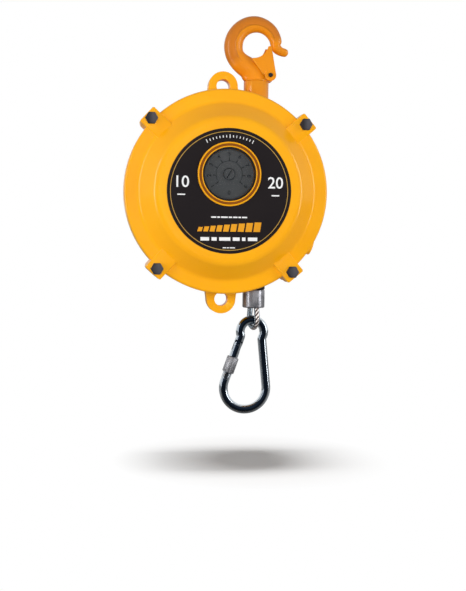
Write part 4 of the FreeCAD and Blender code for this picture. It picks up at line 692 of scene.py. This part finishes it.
# %% [markdown]
# A ring of dark brown lies in the groove of the window's ring: painted shade for the groove.
# %% Painted shade in the groove
work = bmesh.new()
groove_shade_ring = [(32.2, -73.6), (34.9, -73.6), (33.5, -72.3)]
spun(work, groove_shade_ring, SHAFT, ALONG_Y, 96)
outward(work)
finished(work, "window_groove_shade", GROOVE_SHADE, "case_body", 40.0)

# %% [markdown]
# Under the cover's rim lies a black seal, so that the dial seems to fill the window.
# %% Seal under the cover
work = bmesh.new()
seal = [(28.9, -70.6), (28.9, -71.9), (30.9, -71.9), (30.9, -70.6)]
spun(work, softened(seal, [0, 0.3, 0.3, 0], 3), SHAFT, ALONG_Y, 96)
outward(work)
finished(work, "window_seal", FINISH["black_rubber"], "case_body", 40.0)

# %% [markdown]
# ## The dial behind the cover
# The dial is a dark moulding. Its figures, ticks and arc of dots are moulded proud, and a shade
# darker than the ground, so that they still read through the cover. The seat and the slot of the
# screw in the middle get painted shade as dark: a dark ring round the screw, and a dark bar in the slot.
# %% Dial relief and painted shade
dial_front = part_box("dial_plate")[0].y
front_y = dial_front / MM
slot_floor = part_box("dial_screw")[0].y + 1.0 * MM
off_x = (SHAFT.x - CENTRE.x) / MM
off_z = (SHAFT.z - CENTRE.z) / MM
DIAL_START = 216  # degrees
DIAL_STEP = 31.5
FIGURES = 23.2    # radii of the rows
TICKS = 17.2
DOTS = 15.2
PROUD = 0.3


def dial_place(radius, degrees):
    """A place on the dial in mm from the case's centre, and the turn that points a mark outwards."""
    turn = math.radians(degrees)
    return off_x + radius * math.cos(turn), off_z + radius * math.sin(turn), math.radians(90 - degrees)


work = bmesh.new()
for step in range(9):
    x, z, spin = dial_place(FIGURES, DIAL_START - step * DIAL_STEP)
    add_number(work, str(step + 1), x, z, 4.6, base=dial_front, spin=spin, lift=PROUD / 2, thick=PROUD)
    x, z, spin = dial_place(TICKS, DIAL_START - step * DIAL_STEP)
    add_bar(work, x, z, 0.9, 4.2, spin=spin, base=dial_front, lift=0.0, thick=PROUD)
x, z, spin = dial_place(21.5, 270)
add_number(work, "0", x, z, 4.6, base=dial_front, lift=PROUD / 2, thick=PROUD)
for step in range(64):
    x, z, spin = dial_place(DOTS, DIAL_START - step * 4)
    add_bar(work, x, z, 1.2, 0.55, spin=spin, base=dial_front, lift=0.0, thick=PROUD)
bmesh.ops.remove_doubles(work, verts=work.verts, dist=0.001 * MM)
# painted shade: a dark ring in the screw's seat
spun(work, [(6.15, front_y + 0.1), (6.15, front_y - 0.35), (7.0, front_y - 0.35), (7.0, front_y + 0.1)],
     SHAFT, ALONG_Y, 48)
# painted shade: a dark bar on the floor of the screw's slot
add_bar(work, off_x, off_z, 11.0, 1.3, spin=math.radians(-60), base=slot_floor, lift=0.0, thick=0.1)
outward(work)
finished(work, "dial_relief_and_shade", RELIEF_AND_SHADE, "adjuster_body", 30.0)

# %% [markdown]
# Two rings, one round the screw and one near the rim, are moulded in the dial's own grey.
# %% Dial rings
work = bmesh.new()
for radius, wide, high in ((8.0, 0.9, 0.5), (27.4, 0.6, 0.4)):
    ring = [(radius, front_y + 0.1), (radius, front_y - high), (radius + wide, front_y - high),
            (radius + wide, front_y + 0.1)]
    spun(work, softened(ring, [0, high / 2, high / 2, 0], 3), SHAFT, ALONG_Y, 72)
outward(work)
finished(work, "dial_rings", FINISH["dial_grey"], "adjuster_body", 30.0)

# %% [markdown]
# ## Pressed marks on the latch
# The latch is folded from sheet. The press leaves a fold line along its lower edge and a small
# dimple beside the pin.
# %% Fold line and dimple
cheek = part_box("latch")[0].y
FOLD = Vector((0.4, 0, -42.6)) * MM
FOLD_LEAN = math.radians(-35.5)
DIMPLE = Vector((10.7 * MM, cheek, -47.6 * MM))
fold = (FOLD - CENTRE) / MM
work = bmesh.new()
add_bar(work, fold.x, fold.z, 0.9, 22.0, spin=FOLD_LEAN, base=cheek, lift=-0.1, thick=0.4)
spun(work, [(0.0, 0.2), (2.3, 0.2), (2.1, -0.25), (1.2, -0.5), (0.0, -0.55)], DIMPLE, ALONG_Y, 32)
outward(work)
finished(work, "latch_marks", FINISH["orange_enamel"], "latch_body", 50.0)

# %% [markdown]
# ## Wire rope
# A wire rope is strands laid round each other. Seen from outside it is a six-lobed bar that
# twists as it goes, so one ring of points with six lobes is carried along the rope's line and
# turned a little at each step. Each point also notes how far it lies across its pair of strands.
# %% Rope tool


def rope(work, line, radius, lay, lobes=6, round_points=36):
    """A stranded rope along a line of points, in metres."""
    strand = work.verts.layers.float.new("strand")
    rings = []
    gone = 0.0
    normal = (line[1] - line[0]).orthogonal().normalized()
    for index, here in enumerate(line):
        ahead = line[min(index + 1, len(line) - 1)] - line[max(index - 1, 0)]
        ahead.normalize()
        normal = (normal - ahead * normal.dot(ahead)).normalized()
        side = ahead.cross(normal)
        if index:
            gone += (here - line[index - 1]).length
        ring = []
        for step in range(round_points):
            turn = math.tau * step / round_points
            wave = math.sin(lobes / 2 * (turn - math.tau * gone / lay))
            reach = radius * (0.8 + 0.2 * abs(wave) ** 0.6)
            out = normal * (reach * math.cos(turn)) + side * (reach * math.sin(turn))
            ring.append(work.verts.new(here + out))
            ring[-1][strand] = 0.5 + 0.5 * wave
        rings.append(ring)
    for low, high in zip(rings, rings[1:]):
        for step in range(round_points):
            after = (step + 1) % round_points
            work.faces.new((low[step], low[after], high[after], high[step]))
    work.faces.new(rings[0][::-1])
    work.faces.new(rings[-1])
    outward(work)


# %% [markdown]
# The loop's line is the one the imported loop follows: down from the stop, round the thimble and
# up again.
# %% Loop of rope
loop_low, loop_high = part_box("rope_loop")
ROPE_RADIUS = 2.4 * MM
ROPE_LAY = 15 * MM
LOOP_RADIUS = 10.8 * MM
LOOP_TURN = math.radians(108)
neck = 8.0 * MM
loop_top = loop_high.z
loop_centre_z = loop_low.z + ROPE_RADIUS + LOOP_RADIUS
span = math.hypot(neck, loop_top - loop_centre_z)
touch = math.atan2(loop_top - loop_centre_z, neck) - math.acos(LOOP_RADIUS / span)
sweep = math.pi + 2 * touch


def on_loop(turn):
    """A point of the round part of the loop."""
    return Vector((LOOP_RADIUS * math.cos(turn), loop_centre_z + LOOP_RADIUS * math.sin(turn)))


down_leg = [Vector((neck, loop_top)).lerp(on_loop(touch), step / 20) for step in range(21)]
bend = [on_loop(touch - sweep * step / 60) for step in range(1, 61)]
up_leg = [bend[-1].lerp(Vector((-neck, loop_top)), step / 20) for step in range(1, 21)]
line = [Vector((point.x * math.cos(LOOP_TURN), point.x * math.sin(LOOP_TURN), point.y))
        for point in down_leg + bend + up_leg]
work = bmesh.new()
rope(work, line, ROPE_RADIUS, ROPE_LAY)
loop = finished(work, "rope_loop_strands", ROPE_LAID, "load_body", 50.0)
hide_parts("rope_loop")
print("loop's points:", len(line))

# %% [markdown]
# Between the guide in the case and the stop the rope pays out. This length is made as a straight rope
# in its place, and it rides on no body.
# %% Paid-out rope
DROP_TOP = -0.290
DROP_STEP = 0.0005
work = bmesh.new()
rope(work, [Vector((0, 0, DROP_TOP - DROP_STEP * step)) for step in range(59)], ROPE_RADIUS, ROPE_LAY)
drop = finished(work, "rope_drop_strands", ROPE_LAID, None, 50.0)
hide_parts("rope_drop")
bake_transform(drop)

# %% [markdown]
# ## Small parts of the snap hook
# The gate carries a fine thread for its locking sleeve. It shows as close rings below the sleeve.
# %% Thread on the gate
HINGE = Vector(JOINT["gate_hinge"]["pos_m"])
DOWN = Vector(JOINT["sleeve_travel"]["axis"]).normalized()
if DOWN.z > 0:
    DOWN = -DOWN
THREAD_START = 36.0
PITCH = 0.9
profile = [(5.2, 35.9)]
for step in range(7):
    start = THREAD_START + step * PITCH
    profile += [(5.35, start), (5.6, start + 0.35), (5.35, start + 0.75)]
profile.append((5.2, 42.5))
work = bmesh.new()
spun(work, profile, HINGE, DOWN, 48)
outward(work)
finished(work, "gate_thread", FINISH["plated_steel"], "gate_body", 60.0)
print("gate hinge", HINGE, "down", DOWN)

# %% [markdown]
# ## Camera, light and floor
# The camera stands a long step away, a little to the left, and looks slightly down.
# %% Camera


def look(where, yaw, pitch, roll, lens):
    """A camera aimed by three angles in radians: to the right, upwards, and tilt."""
    forward = Vector((math.sin(yaw) * math.cos(pitch), math.cos(yaw) * math.cos(pitch), math.sin(pitch)))
    level = Vector((math.cos(yaw), -math.sin(yaw), 0))
    up = level.cross(forward)
    right = level * math.cos(roll) + up * math.sin(roll)
    up = up * math.cos(roll) - level * math.sin(roll)
    data = bpy.data.cameras.new("camera")
    data.lens = lens
    data.sensor_width = 36.0
    data.sensor_fit = "HORIZONTAL"
    camera = bpy.data.objects.new("camera", data)
    camera.matrix_world = Matrix.Translation(where) @ Matrix((right, up, -forward)).transposed().to_4x4()
    bpy.context.scene.collection.objects.link(camera)
    bpy.context.scene.camera = camera


look(where=(-0.2152, -1.3503, -0.2441), yaw=0.1397, pitch=-0.0541, roll=0.0115, lens=86.53)
print("camera at", bpy.context.scene.camera.matrix_world.translation)

# %% [markdown]
# Two tall softboxes at the sides draw the highlights down the round rim. A broad fill lights the
# face, and reflections don't see it, so it can't whiten the clear cover. A lamp overhead throws the
# shadow on the floor, and one behind lights the back of the case.
# %% Lamps


def lamp(name, where, aim, size, power, tall=None):
    """A rectangular lamp aimed at a point, with its size in metres and its power in watts."""
    data = bpy.data.lights.new(name, "AREA")
    data.shape = "RECTANGLE"
    data.size = size
    data.size_y = tall or size
    data.energy = power
    light = bpy.data.objects.new(name, data)
    light.location = where
    light.rotation_euler = (Vector(aim) - Vector(where)).to_track_quat("-Z", "Y").to_euler()
    bpy.context.scene.collection.objects.link(light)
    return light


BODY_MIDDLE = (-0.04, 0, -0.2)
lamp("left_softbox", (-1.25, -0.55, -0.15), BODY_MIDDLE, 0.3, 9.0, 1.3)
lamp("right_softbox", (1.25, -0.6, -0.15), BODY_MIDDLE, 0.2, 9.0, 1.3)
fill = lamp("front_fill", (-0.3, -2.4, -0.1), BODY_MIDDLE, 1.0, 36.0)
fill.visible_glossy = False
floor_lamp = lamp("top_soft", (-0.02, -0.02, 3.0), (-0.02, -0.02, -0.5), 1.3, 90.0, 0.5)
back_light = lamp("back_softbox", (0.5, 2.2, 0.4), BODY_MIDDLE, 1.0, 22.0)
back_light.visible_glossy = False
print("lamps:", len(bpy.data.lights))

# %% [markdown]
# The room is white to the camera and pale in reflections. It gives little light of its own, so that
# the lamps do the shading.
# %% Room
ROOM_LIGHT = 0.11
ROOM_IN_REFLECTIONS = 0.75
world = bpy.data.worlds.new("studio")
bpy.context.scene.world = world
world.use_nodes = True
w_nodes = world.node_tree.nodes
w_links = world.node_tree.links
ray = w_nodes.new("ShaderNodeLightPath")
glossy = calculated(w_nodes, w_links, "Math", "MULTIPLY_ADD", ray.outputs["Is Glossy Ray"],
                    ROOM_IN_REFLECTIONS, ROOM_LIGHT)
strength = calculated(w_nodes, w_links, "Math", "MAXIMUM", ray.outputs["Is Camera Ray"], glossy.outputs[0])
background = w_nodes["Background"]
background.inputs["Color"].default_value = (1, 1, 1, 1)
w_links.new(strength.outputs[0], background.inputs["Strength"])
bpy.context.scene.view_settings.view_transform = "Standard"
print("room:", world.name)

# %% [markdown]
# The floor is a broad pale sheet, some way below the snap hook. The shadow lies near its middle, and
# round that it fades to white. To every ray but the camera's the floor is dark, so that it throws
# little light back up at the case.
# %% Floor
FLOOR = -0.52
FADE_START = 0.04
FADE_END = 0.17
DARK_GREY = (0.25, 0.25, 0.25, 1)
PALE_GREY = (0.74, 0.74, 0.74, 1)
work = bmesh.new()
bmesh.ops.create_grid(work, x_segments=8, y_segments=8, size=6.0,
                      matrix=Matrix.Translation((0, 0, FLOOR)))
mesh = bpy.data.meshes.new("floor")
work.to_mesh(mesh)
work.free()
floor = bpy.data.objects.new("floor", mesh)
bpy.context.scene.collection.objects.link(floor)
floor_paint = bpy.data.materials.new("floor_pale")
floor_paint.use_nodes = True
f_nodes = floor_paint.node_tree.nodes
f_links = floor_paint.node_tree.links
shader = f_nodes["Principled BSDF"]
shader.inputs["Roughness"].default_value = 0.9
glow = f_nodes.new("ShaderNodeEmission")
mixed = f_nodes.new("ShaderNodeMixShader")
coordinates = f_nodes.new("ShaderNodeTexCoord")
flat = calculated(f_nodes, f_links, "VectorMath", "MULTIPLY", coordinates.outputs["Object"], (1, 1, 0))
length = calculated(f_nodes, f_links, "VectorMath", "LENGTH", flat.outputs["Vector"])
fade = remapped(f_nodes, f_links, length.outputs["Value"], 0.0, 1.0, FADE_START, FADE_END)
seen = f_nodes.new("ShaderNodeLightPath").outputs["Is Camera Ray"]
f_links.new(blended(f_nodes, f_links, seen, DARK_GREY, PALE_GREY), shader.inputs["Base Color"])
f_links.new(calculated(f_nodes, f_links, "Math", "MULTIPLY", fade, seen).outputs[0], mixed.inputs["Fac"])
f_links.new(shader.outputs["BSDF"], mixed.inputs[1])
f_links.new(glow.outputs["Emission"], mixed.inputs[2])
f_links.new(mixed.outputs["Shader"], f_nodes["Material Output"].inputs["Surface"])
mesh.materials.append(floor_paint)
print("floor at", FLOOR)

# %% [markdown]
# Light linking says what a lamp may reach. The one overhead lights only the floor, and the one behind
# lights everything else.
# %% What the lamps reach
only_floor = bpy.data.collections.new("only_floor")
only_floor.objects.link(floor)
floor_lamp.light_linking.receiver_collection = only_floor
all_but_floor = bpy.data.collections.new("all_but_floor")
all_but_floor.objects.link(floor)
all_but_floor.collection_objects[0].light_linking.link_state = "EXCLUDE"
back_light.light_linking.receiver_collection = all_but_floor
print("linked lamps:", floor_lamp.name, back_light.name)
